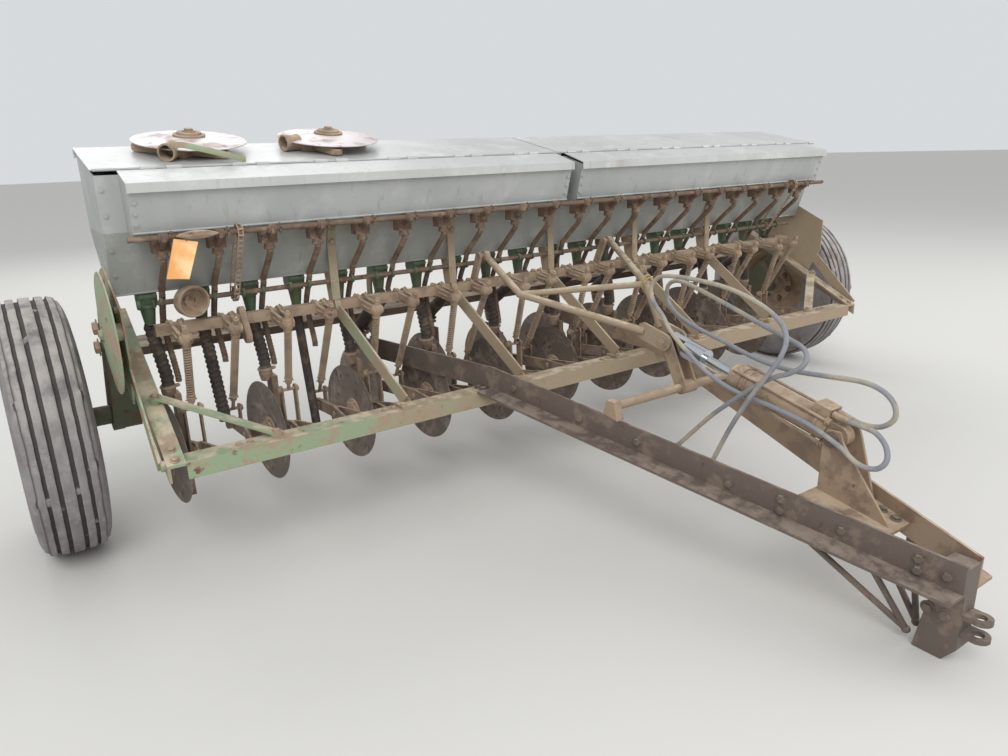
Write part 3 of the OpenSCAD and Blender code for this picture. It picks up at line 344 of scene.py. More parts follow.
def hose_cover(name, base, dust, amount=0.5):
    """Rubber hose cover or twine, dull, with field dust on stretches of it."""
    p = Paint(name, base, rough=0.6)
    p.coat(dust, p.patches(4.2, 0.62 - 0.2 * amount, 0.72 - 0.2 * amount, detail=3), rough=0.9)
    p.coat("#6b6c70", p.times(p.patches(60, 0.56, 0.7, detail=5), 0.5))
    p.bump(p.noise(300, detail=2), 0.0003)
    return p.done()


def weathered_wood():
    """A plank that has lain in the weather, with its grain along X."""
    p = Paint("weathered_wood", "#837363", rough=0.9)
    p.coat("#5c4c3f", p.patches(14, 0.45, 0.62, detail=8, stretch=(0.05, 1, 1)))
    p.coat("#a3937f", p.times(p.upward(), p.patches(9, 0.45, 0.65, detail=8)))
    p.bump(p.noise(60, detail=6, stretch=(0.05, 1, 1)), 0.002)
    return p.done()


def orange_card():
    """A plain orange card in a plastic sleeve, faded towards yellow."""
    p = Paint("orange_card", "#f6b06c", rough=0.45)
    p.coat("#fbd39b", p.patches(13, 0.42, 0.66))
    return p.done()


def disc_painted_highlight():
    """The upper side of a worn, scoured disc, made pale all over as a painted highlight, with a rusty edge.
    """
    # Painted highlight: the near-white base colour stands for the sheen on the discs' upturned faces.
    p = Paint("scoured_disc_with_painted_highlight", "#c9c2c2", rough=0.42, metal=0.35)
    p.coat("#b19e96", p.patches(12, 0.48, 0.66, detail=7), rough=0.6)
    p.coat("#9a6f58", p.patches(30, 0.62, 0.70, detail=6), rough=0.8)
    p.bump(p.noise(120, detail=4), 0.0003)
    return p.done()


MATERIALS = {
    # The box sheet's low grey is painted shade below 1 m, under the hoppers.
    "galvanised": galvanised("galvanised_sheet", "#b3b5b3", "#9a9d9a", "#c6c7c4", low="#9b9c96"),
    "lid": galvanised("worn_galvanised_lid", "#c3c4c1", "#adafac", "#dcdcd8", rough=0.42),
    "faded_green": muddy_paint("faded_green_enamel", "#8d9d7e", "#a08c76", cover=0.62, dry="#c2b49d",
                               far=-0.95),
    "strap_green": muddy_paint("dark_green_enamel", "#4f6149", "#6a5d4c", cover=0.45, dry="#8c8069"),
    "muddy_steel": muddy_paint("dried_mud_on_steel", "#8a7664", "#a18c76", cover=0.8, dry="#b9a58d"),
    "dark_steel": muddy_paint("dark_brown_steel", "#645850", "#7b6c60", rust="#5f4a3d", cover=0.5,
                              dry="#8a7c70"),
    "boot_mud": muddy_paint("dry_mud_on_boots", "#6f5f52", "#8f7b69", cover=0.7, dry="#a39079"),
    "arm_green": muddy_paint("dirty_dark_green_arm", "#5a604a", "#6c5d4c", cover=0.6, dry="#8a7a66"),
    "rusty_steel": weathered("rusty_steel", "#725e50", "#927e6b", "#54443a"),
    "disc_steel": weathered("worn_disc_steel", "#7a6d63", "#a1968b", "#54443a", rough=0.55, metal=0.35),
    "tyre_rubber": tyre_rubber(),
    "rubber": weathered("dark_rubber_tube", "#453d38", "#6d6053", "#2e2825", metal=0.0),
    "hose": hose_cover("grey_blue_hose", "#85878c", "#a9a08f", amount=1.0),
    "twine": hose_cover("sisal_twine", "#b49a70", "#8f7d60"),
    "worn_fittings": worn_fitting(),
    "chrome": chrome(),
    "wood": weathered_wood(),
    "tag": orange_card(),
    # Discs lightened by a painted highlight
    "disc_painted_highlight": disc_painted_highlight(),
}
# Nodes whose coat differs from the rest of their slot
COATS = {"openers_front": "boot_mud", "openers_rear": "boot_mud", "wheel_arms": "arm_green"}
slot_of = {s["node"]: s["material_slot"] for s in frame["record"]["subparts"]}


def paint_nodes():
    """Gives each node of the frame its material."""
    for name, obj in nodes.items():
        obj.data.materials.clear()
        obj.data.materials.append(MATERIALS[COATS.get(name, slot_of[name])])


paint_nodes()


# Mesh helpers
def grid(rings, sides, closed=False):
    """Quads between rings of points, with the ends capped unless the rings close."""
    r = np.arange(rings if closed else rings - 1)[:, None]
    s = np.arange(sides)[None, :]
    t = (s + 1) % sides
    n = (r + 1) % rings
    quads = np.stack([r * sides + s, r * sides + t, n * sides + t, n * sides + s], -1).reshape(-1, 4).tolist()
    if not closed:
        quads.append(list(range(sides - 1, -1, -1)))
        quads.append(list(range((rings - 1) * sides, rings * sides)))
    return quads


def volume(verts, faces):
    """Six times the signed volume inside closed faces, from fans of triangles."""
    tri = np.array([(f[0], f[k], f[k + 1]) for f in faces for k in range(1, len(f) - 1)])
    a, b, c = (verts[tri[:, k]] - verts[0] for k in range(3))
    return float(np.einsum("ij,ij->i", a, np.cross(b, c)).sum())


class Shapes:
    """Collects closed meshes into one piece, each turned so that its faces point outwards."""

    def __init__(self):
        self.verts = []
        self.faces = []
        self.count = 0

    def put(self, verts, faces):
        verts = np.asarray(verts, float)
        if volume(verts, faces) < 0:
            faces = [f[::-1] for f in faces]
        self.verts.append(verts)
        self.faces.extend([[k + self.count for k in f] for f in faces])
        self.count += len(verts)

    def object(self, name, material):
        """The piece's object, in metres, riding on nothing yet."""
        mesh = bpy.data.meshes.new(name)
        mesh.from_pydata(at(np.vstack(self.verts)).tolist(), [], self.faces)
        mesh.materials.append(MATERIALS[material])
        mesh.shade_smooth()
        mesh.set_sharp_from_angle(angle=np.radians(35))
        obj = bpy.data.objects.new(name, mesh)
        bpy.context.scene.collection.objects.link(obj)
        return obj

    def make(self, name, material, body, replaces=(), slot=None):
        """The finished piece, riding on a body and standing for the nodes it replaces.
        The slot argument is not used."""
        slot = slot or material
        obj = self.object(name, material)
        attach(obj, body)
        if replaces:
            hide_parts(*replaces)
        return obj


def around(count):
    """Even angles round a circle."""
    return np.linspace(0, 2 * np.pi, count, endpoint=False)


def distances(path):
    """Distance along a path at each of its points."""
    return np.r_[0, np.cumsum(np.linalg.norm(np.diff(path, axis=0), axis=1))]


def even_points(path, along, count):
    """Points at even distances along a path."""
    even = np.linspace(0, along[-1], count)
    return np.stack([np.interp(even, along, axis) for axis in path.T], axis=1)


def frames_along(path):
    """Two normals at each point of a path, turned as little as possible."""
    tangents = np.gradient(path, axis=0)
    tangents /= np.linalg.norm(tangents, axis=1)[:, None]
    side = np.cross(tangents[0], [0.31, 0.22, 0.92])
    sides = []
    for t in tangents:
        side = side - t * (side @ t)
        side = side / np.linalg.norm(side)
        sides.append(side)
    sides = np.array(sides)
    return sides, np.cross(tangents, sides)


def tube(path, radius, sides=12):
    """A tube along a path: each ring is the path's point plus the radius times a turned normal."""
    path = np.asarray(path, float)
    u, v = frames_along(path)
    angle = around(sides)
    ring = u[:, None, :] * np.cos(angle)[None, :, None] + v[:, None, :] * np.sin(angle)[None, :, None]
    if callable(radius):
        along = distances(path)
        radius = radius(along[:, None], angle[None, :])
    else:
        radius = np.broadcast_to(np.reshape(radius, (-1, 1)), (len(path), sides))
    verts = path[:, None, :] + ring * radius[:, :, None]
    return verts.reshape(-1, 3), grid(len(path), sides)


def smooth_path(points, step=8.0):
    """A Catmull-Rom curve through the points, at even steps."""
    p = np.asarray(points, float)
    p = np.vstack([2 * p[0] - p[1], p, 2 * p[-1] - p[-2]])
    t = np.linspace(0, 1, 24, endpoint=False)[:, None]
    out = []
    for k in range(1, len(p) - 2):
        a, b, c, d = p[k - 1], p[k], p[k + 1], p[k + 2]
        square, cube = 2 * a - 5 * b + 4 * c - d, 3 * b - a - 3 * c + d
        out.append(0.5 * (2 * b + (c - a) * t + square * t ** 2 + cube * t ** 3))
    out = np.vstack(out + [p[-2][None]])
    along = distances(out)
    return even_points(out, along, max(4, int(along[-1] / step)))


def basis(axis):
    """Three unit vectors, the last along axis."""
    w = np.asarray(axis, float)
    w = w / np.linalg.norm(w)
    u = np.cross(w, [0, 0, 1] if abs(w[2]) < 0.9 else [1, 0, 0])
    u /= np.linalg.norm(u)
    return u, np.cross(w, u), w


def turned(profile, centre, axis, sides=24, squash=1.0, closed=False):
    """A solid of revolution; profile holds (distance along axis, radius), squashed along one normal."""
    u, v, w = basis(axis)
    angle = around(sides)
    spoke = np.cos(angle)[:, None] * u + np.sin(angle)[:, None] * v * squash
    profile = np.asarray(profile, float)
    along, radius = profile[:, 0][:, None, None], profile[:, 1][:, None, None]
    verts = np.asarray(centre, float) + along * w + radius * spoke
    return verts.reshape(-1, 3), grid(len(profile), sides, closed)


def slab(outline, place, thickness, edge=1.0):
    """A plate with bevelled edges: four rings of the outline, the outer two drawn in towards its middle.
    place holds the origin and the directions of the outline's two axes and of the thickness."""
    origin, u, v, w = (np.asarray(k, float) for k in place)
    outline = np.asarray(outline, float)
    middle = outline.mean(axis=0)
    reach = np.linalg.norm(outline - middle, axis=1, keepdims=True)
    small = middle + (outline - middle) * (1 - edge / reach)
    half = thickness / 2
    rings = [(small, -half), (outline, -half + edge), (outline, half - edge), (small, half)]
    verts = [origin + o[:, :1] * u + o[:, 1:] * v + d * w for o, d in rings]
    return np.vstack(verts), grid(4, len(outline))


def upright(x, y, z):
    """Place of a plate that faces the front: its outline along X and up."""
    return (x, y, z), (1, 0, 0), (0, 0, 1), (0, 1, 0)


def oblong(length, width, sides=8):
    """Outline with round ends, along the first axis."""
    angle = np.linspace(-np.pi / 2, np.pi / 2, sides)
    r = width / 2
    right = np.stack([(length - width) / 2 + r * np.cos(angle), r * np.sin(angle)], axis=1)
    return np.vstack([right, -right])


def hex_bolt(shapes, centre, axis, width=19.0, height=9.0):
    """A hexagon head with a washer under it."""
    w = width / np.sqrt(3)
    shapes.put(*turned([(0, width * 0.8), (2.2, width * 0.8), (2.2, width * 0.2), (0, width * 0.2)],
                       centre, axis, 14, closed=True))
    head = [(1.0, w * 0.3), (1.0, w), (height, w), (height + 1.2, w * 0.86), (height + 1.4, w * 0.1)]
    shapes.put(*turned(head, centre, axis, 6))


def ripple(angle, across, waves, seed, first=1, last=24):
    """Smooth noise of spread 1 about 0, closed round the angle: a sum of cosines with whole frequencies."""
    rng = np.random.default_rng(seed)
    total = 0
    for _ in range(waves):
        f = rng.integers(first, last)
        g = rng.uniform(-0.09, 0.09)
        total = total + np.cos(f * angle + g * across + rng.uniform(0, 2 * np.pi)) / np.sqrt(waves / 2)
    return total


# Hoses: the same route points as in the part's source
HOSE_D = 14.0
HOSE_ROUTES = {
    "hose_left": [
        (-117, -1186, 496), (-117, -1222, 489), (-118, -1264, 486), (-123, -1308, 482), (-134, -1344, 460),
        (-148, -1358, 428), (-160, -1340, 404), (-165, -1295, 404), (-164, -1235, 436), (-163, -1150, 466),
        (-163, -1040, 485), (-163, -900, 500), (-163, -790, 536), (-164, -700, 592), (-160, -640, 634),
        (-138, -586, 668), (-112, -530, 688), (-96, -492, 714), (-90, -488, 750), (-88, -522, 780),
        (-86, -590, 788), (-84, -690, 786), (-88, -805, 776), (-104, -926, 750), (-130, -1014, 718),
        (-160, -1058, 682), (-187, -1062, 636), (-199, -1030, 576), (-201, -976, 492), (-201, -925, 402),
        (-200, -876, 300), (-200, -842, 224)],
    "hose_right": [
        (-93, -1186, 496), (-93, -1222, 487), (-93, -1268, 482), (-93, -1310, 492), (-93, -1337, 522),
        (-93, -1330, 558), (-93, -1296, 584), (-93, -1240, 594), (-93, -1140, 586), (-93, -1033, 578),
        (-88, -940, 582), (-70, -850, 590), (-50, -770, 600), (-40, -690, 612), (-35, -610, 630),
        (-28, -550, 648), (-22, -506, 674), (-20, -488, 710), (-24, -500, 744), (-30, -540, 762),
        (-38, -600, 758), (-50, -690, 740), (-66, -814, 712), (-90, -936, 686), (-118, -1040, 672),
        (-146, -1108, 658), (-168, -1124, 630), (-179, -1092, 600), (-180, -1016, 560), (-180, -858, 430),
        (-180, -740, 308), (-180, -683, 246)],
}


def hoses():
    """Both hoses, each with crimped sleeves at its ends and a coupler on the free one."""
    for name, points in HOSE_ROUTES.items():
        path = smooth_path(points, 6.0)
        end = path[-1]
        way = path[-1] - path[-3]
        coupler = Shapes()
        coupler.put(*turned([(0.3, 5), (0.3, 12.2), (3, 12.5), (24, 12.5), (27, 11), (27, 5)], end, way, 6))
        nose = [(26, 3), (26, 8.6), (34, 8.6), (35, 7.4), (38, 7.4), (39, 8.6), (52, 8.6), (54, 7), (60, 6.6),
                (62, 8), (76, 8), (78, 6.6), (78, 3)]
        coupler.put(*turned(nose, end, way, 20))
        fitting = coupler.make(name.replace("hose", "coupler"), "worn_fittings", "cylinder_barrel",
                               ["hose_couplers"])
        sleeves = Shapes()
        ribs = [(0, 7.0), (0, 9.4), (4, 9.8)]
        ribs += [(6 + 5 * k + d, r) for k in range(7) for d, r in ((0, 9.8), (1, 9.0), (3, 9.0), (4, 9.8))]
        ribs += [(44, 9.4), (44, 7.0)]
        sleeves.put(*turned(ribs, end, -way, 20))
        start = path[0]
        sleeves.put(*turned(ribs, start + 2 * (path[1] - path[0]) / 6, path[4] - path[0], 20))
        sleeve = sleeves.make(name + "_sleeves", "muddy_steel", "cylinder_barrel", slot="worn_fittings")
        body = Shapes()
        body.put(*tube(path, HOSE_D / 2, 12))
        hose = body.make(name + "_rubber", "hose", "cylinder_barrel", [name])
        at(start)
        at(path)


hoses()


# Tyres: five worn ribs, with mud in parts of the grooves. Ribs: first and last edge as shares of
# half the width, and the drop at each edge
TYRE_RIBS = ((-0.74, -0.56, 8, 3), (-0.46, -0.26, 2, 1), (-0.14, 0.14, 0, 0), (0.26, 0.46, 1, 2),
             (0.56, 0.74, 3, 8))
GROOVE = 11.0


def tyre_outline():
    """Radius and place across the tyre, round its whole section; side walls curved, the tread straight."""
    h = TYRE_HALF
    wall = [(RIM_R, 0.62), (RIM_R + 6, 0.70), (RIM_R + 20, 0.80), (RIM_R + 48, 0.95), (RIM_R + 80, 1.0),
            (TYRE_R - 96, 0.995), (TYRE_R - 70, 0.97), (TYRE_R - 44, 0.92), (TYRE_R - 22, 0.84)]
    wall = [(r, w * h) for r, w in wall]
    curve = smooth_path([(r, w, 0) for r, w in wall], 5.0)[:, :2]
    tread = []
    for a, b, p, q in TYRE_RIBS:
        tread += [(-GROOVE - p / 2, a), (-p - 1.2, a), (-p, a + 0.02)]
        tread += [(-q, b - 0.02), (-q - 1.2, b), (-GROOVE - q / 2, b)]
    tread = [(TYRE_R + d, w * h) for d, w in tread]
    fine = [tread[0]]
    for a, b in zip(tread, tread[1:]):
        parts = max(1, int(np.hypot(b[0] - a[0], b[1] - a[1]) / 5))
        fine += [tuple(a[j] + (b[j] - a[j]) * k / parts for j in (0, 1)) for k in range(1, parts + 1)]
    left = curve * (1, -1)
    return np.vstack([left, fine, curve[::-1]])


def tyre(side, name):
    """A wheel's tyre: the outline carried round the axle, its tread worn in and its grooves part filled."""
    outline = tyre_outline()
    angle = around(264)[:, None]
    r = np.repeat(outline[None, :, 0], len(angle), axis=0)
    w = np.repeat(outline[None, :, 1], len(angle), axis=0)
    seed = 11 if side < 0 else 12
    wear = ripple(angle, w, 26, seed)
    mud = np.clip((ripple(angle, w, 34, seed + 20, 2, 40) - 1.5) / 0.5, 0, 1)
    tread = np.clip((r - (TYRE_R - 24)) / 8, 0, 1)
    floor = TYRE_R - GROOVE - 4
    r = r - tread * np.clip(0.5 + 0.4 * wear, 0, 1.4)
    r = r + tread * mud * np.clip(TYRE_R - 3 - r, 0, 8) * (r < floor + 9) * 0.8
    edge = np.clip(1 - np.abs(r - (TYRE_R - 5)) / 5, 0, 1)
    w = w + edge * 0.35 * np.sign(np.cos(33 * angle)) * np.sign(w) * (np.abs(w) < 0.8 * TYRE_HALF)
    rings = 1.3 * sum(np.exp(-((r - RIM_R - d) / 2.6) ** 2) for d in (34, 58, 112))
    w = w - np.sign(w) * (1.4 - rings) * (r < TYRE_R - 60) * (r > RIM_R + 26)
    w = np.clip(w, -TYRE_HALF, TYRE_HALF)
    verts = np.stack([side * WHEEL_X + w, AXLE[0] + r * np.cos(angle), AXLE[1] + r * np.sin(angle)], -1)
    s = Shapes()
    s.put(verts.reshape(-1, 3), grid(len(angle), outline.shape[0], closed=True))
    s.make("tyre_" + name + "_tread", "tyre_rubber", "wheel_" + name, ["tyre_" + name])


def wheel_fastenings(side, name):
    """Nuts on the wheel's flange, the dust cap and grease nipple on its outer end, and the tyre's valve."""
    s = Shapes()
    out = np.array([side, 0, 0], float)
    middle = np.array([side * WHEEL_X, *AXLE])
    for k in range(6):
        a = np.radians(60 * k + 12)
        spoke = np.array([0, np.cos(a), np.sin(a)])
        hex_bolt(s, middle + 14 * out + 77 * spoke, out, 22, 14)
        hex_bolt(s, middle - 14 * out + 77 * spoke, -out, 22, 10)
    cap = [(-2, 20), (-2, 47), (3, 47), (4, 41), (16, 39), (22, 32), (25, 18), (26, 4)]
    s.put(*turned(cap, middle + 60 * out, out, 28))
    s.put(*turned([(0, 4), (10, 4), (14, 2.4), (16, 1)], middle + 85 * out, out, 8))
    valve = middle + 34 * out + np.array([0, 0, RIM_R - 24])
    s.put(*tube(valve + np.array([(0, 0, 2), (10 * side, 0, -8), (30 * side, 0, -14)]), 3.2, 8))
    s.make("wheel_nuts_" + name, "rusty_steel", "wheel_" + name)


for wheel_side, wheel_name in ((-1, "left"), (1, "right")):
    tyre(wheel_side, wheel_name)
    wheel_fastenings(wheel_side, wheel_name)


# Rockshaft's arms and the pressure rods with their coil springs
def trunnion(i):
    arm = LONG_ARM if i % 2 == 0 else SHORT_ARM
    return SHAFT - arm * np.array([np.cos(ARM_DROP), np.sin(ARM_DROP)])


def coil(start, way, length, radius, wire, pitch):
    """A coil spring: a small circle carried along a helix round a line, with both ends closed flat."""
    u, v, w = basis(way)
    turns = length / pitch
    t = np.linspace(0, 1, int(turns * 12))[:, None]
    a = 2 * np.pi * (turns + 2) * t
    rise = length * np.clip((t * (turns + 2) - 1) / turns, 0, 1)
    phi = around(6)[None, :]
    spread = radius + wire * np.cos(phi)
    along = rise + wire * np.sin(phi)
    right, up = ((spread * wave(a))[..., None] * n for wave, n in ((np.cos, u), (np.sin, v)))
    verts = start + along[..., None] * w + right + up
    return verts.reshape(-1, 3), grid(len(t), 6)


def pressure_rods(name, rows, foot, body):
    """Rods with nuts, trunnion castings, springs and washers, all along the line from the arm to the foot."""
    s = Shapes()
    for i in rows:
        t = np.array([row_x(i), *trunnion(i)])
        foot_point = np.array([row_x(i), *foot], float)
        reach = np.linalg.norm(foot_point - t)
        way = (foot_point - t) / reach
        low = reach - 16
        spring = 0.8 * (low - 27)
        s.put(*turned([(-44, 2), (-44, 5.2), (-42, 6), (low - 2, 6), (low, 4.8), (low, 2)], t, way, 12))
        for d, h in ((-38, 10), (-27, 8)):
            s.put(*turned([(d, 6), (d, 9), (d + 1, 10), (d + h - 1, 10), (d + h, 9), (d + h, 6)], t, way, 6))
        s.put(*turned([(-19, 7), (-19, 12), (-15, 15.5), (-6, 18), (6, 18), (15, 15.5), (20, 13), (24, 12.5),
                       (24, 7)], t, way, 16))
        s.put(*turned([(-20, 3), (-20, 5.5), (-19, 6), (19, 6), (20, 5.5), (20, 3)], t, (1, 0, 0), 14))
        for side in (-1, 1):
            s.put(*turned([(7, 5), (7, 13), (9, 14), (13, 12), (13, 5)], t, (side, 0, 0), 16))
        s.put(*turned([(24.5, 6), (24.5, 14.5), (27, 14.5), (27, 6)], t, way, 16))
        s.put(*coil(t + 29 * way, way, spring - 7, 10.2, 2.7, 8.6))
        end = 27 + spring
        s.put(*turned([(end, 6), (end, 14), (end + 4, 14), (end + 5, 11), (end + 20, 11), (end + 22, 9.5),
                       (end + 22, 6)], t, way, 16))
        s.put(*tube(t + (end + 12) * way + np.array([(-17, 0, 0), (17, 0, 0)]), 2.4, 8))
    s.make(name + "_springs", "muddy_steel", body, [name])


front_rows = range(0, ROWS, 2)
rear_rows = range(1, ROWS, 2)
fitted_rear_rows = [i for i in rear_rows if i not in BARE_ROWS]
pressure_rods("pressure_rods_front", front_rows, FRONT_FOOT, "pressure_rods_front")
pressure_rods("pressure_rods_rear", rear_rows, REAR_FOOT, "pressure_rods_rear")


def arm_clamps():
    """Castings that clamp each pair of arms to the square shaft, with their bolts and pin heads."""
    s = Shapes()
    for i in range(ROWS):
        x = row_x(i)
        t = trunnion(i)
        for side in (-1, 1):
            middle = np.array([x + side * 13, *SHAFT])
            s.put(*slab(oblong(58, 52, 5), (middle, (0, 1, 0), (0, 0, 1), (1, 0, 0)), 12, 2.5))
            hex_bolt(s, middle + (side * 6, 3, 19), (side, 0, 0), 12, 6)
            end = np.array([x + side * 18.2, *t])
            s.put(*turned([(-1, 7), (-1, 10), (2, 10), (3, 7.5), (4, 3)], end, (side, 0, 0), 12))
            rib = np.array([(t - SHAFT) * k for k in (0.35, 0.6, 0.85)])
            s.put(*tube([(x + side * 19, *(SHAFT + r)) for r in rib], (3.5, 4.5, 3.5), 8))
    lever = np.array([-8.17 * PITCH, SHAFT[0] - 14, SHAFT[1] - 19])
    slope = np.array([0, 40, 66]) / np.hypot(40, 66)
    place = (lever + (-9, 0, 0), slope, np.cross((1, 0, 0), slope), (1, 0, 0))
    s.put(*slab(oblong(122, 44, 8), place, 5, 1.5))
    hex_bolt(s, lever + (-11, 0, 0), (-1, 0, 0), 20, 9)
    s.make("arm_clamps", "muddy_steel", "rockshaft")


arm_clamps()


# Seed tubes and fertiliser tubes, of steel ribbon or ribbed rubber
def ribbed(radius, pitch, depth):
    """Radius of a tube with a spiral rib: highest at the rib, lower by depth in the groove between turns."""
    return lambda along, angle: radius - depth * (0.5 - 0.5 * np.cos(2 * np.pi * along / pitch - angle)) ** 2


def seed_tubes(name, rows, disc_y):
    s = Shapes()
    top = FLOOR_Z - 46 - 60 - 0.3
    low = COLLAR_Z + 22.3
    for i in rows:
        x = row_x(i)
        cup = (x + CUP_SHIFT, FLOOR_Y + 35)
        collar = (x + COLLAR_SHIFT, disc_y)
        points = [(*cup, top), (*cup, top - 18), (*collar, low + 34), (*collar, low)]
        s.put(*tube(smooth_path(points, 3.0), ribbed(20, 17.0, 3.2), 20))
    obj = s.object(name + "_ribbed", "rubber")
    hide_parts(name)
    at((0, FLOOR_Y + 35, top))
    at((0, disc_y, low))
    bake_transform(obj)


def free_tubes():
    """Tubes that hang from their cups where the openers are off: one ribbed, one smooth."""
    s = Shapes()
    for i, low, radius in ((1, 370, ribbed(20, 17.0, 3.2)), (3, 265, 15.0)):
        x = row_x(i) + CUP_SHIFT
        y = FLOOR_Y + 35
        s.put(*tube(smooth_path([(x, y, 715.7), (x, y, 676), (x + 22, y - 8, low)], 3.0), radius, 20))
    s.make("seed_tubes_hanging", "rubber", "frame", ["seed_tubes_rear"])


seed_tubes("seed_tubes_front", front_rows, FRONT_ROW_Y)
seed_tubes("seed_tubes_rear", fitted_rear_rows, REAR_ROW_Y)
free_tubes()


def fertiliser_tubes(name, rows, disc_y, low, gang=None):
    """Thin tubes of steel ribbon from the feeds, over the rockshaft and down beside the collars."""
    s = Shapes()
    top = 927.7
    for i in rows:
        x = row_x(i) + FEED_SHIFT
        points = [(x, 60, top), (x, 60, top - 14), (x, 154, 832), (x, 168, 808), (x, 218, 728), (x, 222, 696),
                  (x + 14, disc_y + 12, low + 24), (x + 14, disc_y + 12, low)]
        s.put(*tube(smooth_path(points, 3.6), ribbed(10, 11.0, 1.9), 12))
    obj = s.object(name, "rusty_steel")
    if gang:
        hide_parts(name.replace("_ribbon", ""))
        at((0, 222, 700))
        at((0, disc_y + 12, low))
        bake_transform(obj)
    else:
        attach(obj, "frame")


fertiliser_tubes("fertiliser_tubes_front_ribbon", front_rows, FRONT_ROW_Y, COLLAR_Z + 24, "gang_front")
fertiliser_tubes("fertiliser_tubes_rear_ribbon", fitted_rear_rows, REAR_ROW_Y, COLLAR_Z + 24, "gang_rear")
fertiliser_tubes("fertiliser_tubes_hanging", BARE_ROWS, FLOOR_Y + 35, 560)


# Drive chains of open links
def chain_loop(x, p, q, radius, step):
    """Points and directions at even steps round a belt between two equal wheels."""
    p, q = np.array(p, float), np.array(q, float)
    way = (q - p) / np.linalg.norm(q - p)
    side = np.array([-way[1], way[0]])
    arc = np.linspace(-np.pi / 2, np.pi / 2, 13)
    far = [q + radius * (np.cos(a) * way + np.sin(a) * side) for a in arc]
    near = [p - radius * (np.cos(a) * way + np.sin(a) * side) for a in arc]
    loop = np.array(far + near + far[:1])
    along = distances(loop)
    points = even_points(loop, along, int(round(along[-1] / step)) + 1)
    return np.column_stack([np.full(len(points), x), points])


def link(s, a, b, width, wire):
    """One open link: a rounded rectangle of wire, a ring of circles round its four sides."""
    w = (b - a) / np.linalg.norm(b - a)
    across = np.array([1.0, 0, 0])
    up = np.cross(across, w)
    t = around(16)
    c, d = np.cos(t), np.sin(t)
    shape = 1 / (np.abs(c) ** 4 + np.abs(d) ** 4) ** 0.25
    half = np.linalg.norm(b - a) * 0.55
    line = (a + b) / 2 + (c * shape * half)[:, None] * w + (d * shape * width / 2)[:, None] * across
    phi = around(6)
    out = line - (a + b) / 2
    out = out / np.linalg.norm(out, axis=1)[:, None]
    circle = np.cos(phi)[None, :, None] * out[:, None] + np.sin(phi)[None, :, None] * up
    s.put((line[:, None] + wire * circle).reshape(-1, 3), grid(16, 6, closed=True))


def drive_chains():
    s = Shapes()
    for x in (-8.29 * PITCH, 8.71 * PITCH):
        loop = chain_loop(x, FEED_SHAFT, SEED_SHAFT, 22.0, 19.0)
        for a, b in zip(loop, loop[1:]):
            link(s, a, b, 13.0, 2.4)
            s.put(*tube([a + (-8.5, 0, 0), a + (8.5, 0, 0)], 2.6, 7))
    s.make("drive_chain_links", "muddy_steel", "frame", ["drive_chains"], "rusty_steel")


drive_chains()


# The two loose openers on the left grain lid: discs on top, boots with an open collar below
def lid_place(x, along, height, turn):
    """Origin and axes of a thing that lies on the grain lid, turned about the lid's normal."""
    way = np.array([0, np.cos(LID_SLOPE), np.sin(LID_SLOPE)])
    normal = np.array([0, -np.sin(LID_SLOPE), np.cos(LID_SLOPE)])
    origin = np.array([x, *RIDGE]) + along * way + height * normal
    c, d = np.cos(np.radians(turn)), np.sin(np.radians(turn))
    right = np.array([1.0, 0, 0])
    return origin, c * right + d * way, -d * right + c * way, normal


def loose_openers():
    discs, boots = Shapes(), Shapes()
    for x, turn in ((STRAPPED_X, -34), (-BOX_HALF + 767, -73)):
        origin, u, v, n = lid_place(x, 229, 0.3, turn)
        discs.put(*turned([(42, 1), (42, 60), (30.4, 168), (30, DISC_R - 1), (31.5, DISC_R), (33, DISC_R - 1),
                           (36, 150), (45, 60), (45, 1)], origin, n, 72))
        boots.put(*turned([(7, 20), (7, 38), (10, 42), (40, 42), (42.4, 38), (42.4, 10)], origin, n, 28))
        boots.put(*turned([(44, 4), (44, 47), (46, 48), (50, 48), (51, 46), (51, 37), (56, 36.5), (58, 34),
                           (58, 16), (60, 14), (60, 4)], origin, n, 30))
        hex_bolt(boots, origin + 58.5 * n, n, 24, 8)
        outline = [(-44, -30), (-38, -80), (-30, -130), (30, -130), (38, -80), (44, -30), (44, 20), (40, 60),
                   (30, 110), (24, 148), (2, 158), (-20, 156), (-34, 110), (-44, 70), (-46, 20)]
        boots.put(*slab(outline, (origin + 13 * n, u, v, n), 26, 4))
        boots.put(*slab(oblong(300, 40), (origin + 13 * n - 72.5 * v, u, v - 0.083 * u, n), 20, 4))
        collar = [(0, 21.4), (0, 25.2), (2, 26), (8, 26), (10, 24.4), (44, 24.4), (46, 25.8), (58, 25.8),
                  (58, 21), (50, 20.6), (6, 20.6)]
        boots.put(*turned(collar, origin + 26 * n - 128 * v, -v, 36, closed=True))
        for a, b in ((-120, -62), (120, -83), (-10, 120)):
            hex_bolt(boots, origin + a * u + b * v + 24 * n, n, 17, 7)
    # The loose discs wear the painted highlight.
    discs.make("loose_discs", "disc_painted_highlight", "grain_lid_left", ["loose_openers"], "muddy_steel")
    boots.make("loose_boots", "muddy_steel", "grain_lid_left", ["loose_openers"])
    strap = Shapes()
    knots = ((-92, 78, 48), (-60, 44, 52), (0, 24, 40), (60, 22, 24), (112, 34, 7))
    route = smooth_path([lid_place(STRAPPED_X + x, along, height, 0)[0] for x, along, height in knots])
    angle = around(8)
    side, up = frames_along(route)
    ring = np.cos(angle)[None, :, None] * side[:, None] * 1.6 + np.sin(angle)[None, :, None] * up[:, None] * 9
    strap.put((route[:, None] + ring).reshape(-1, 3), grid(len(route), 8))
    strap.make("loose_strap", "faded_green", "grain_lid_left")


loose_openers()


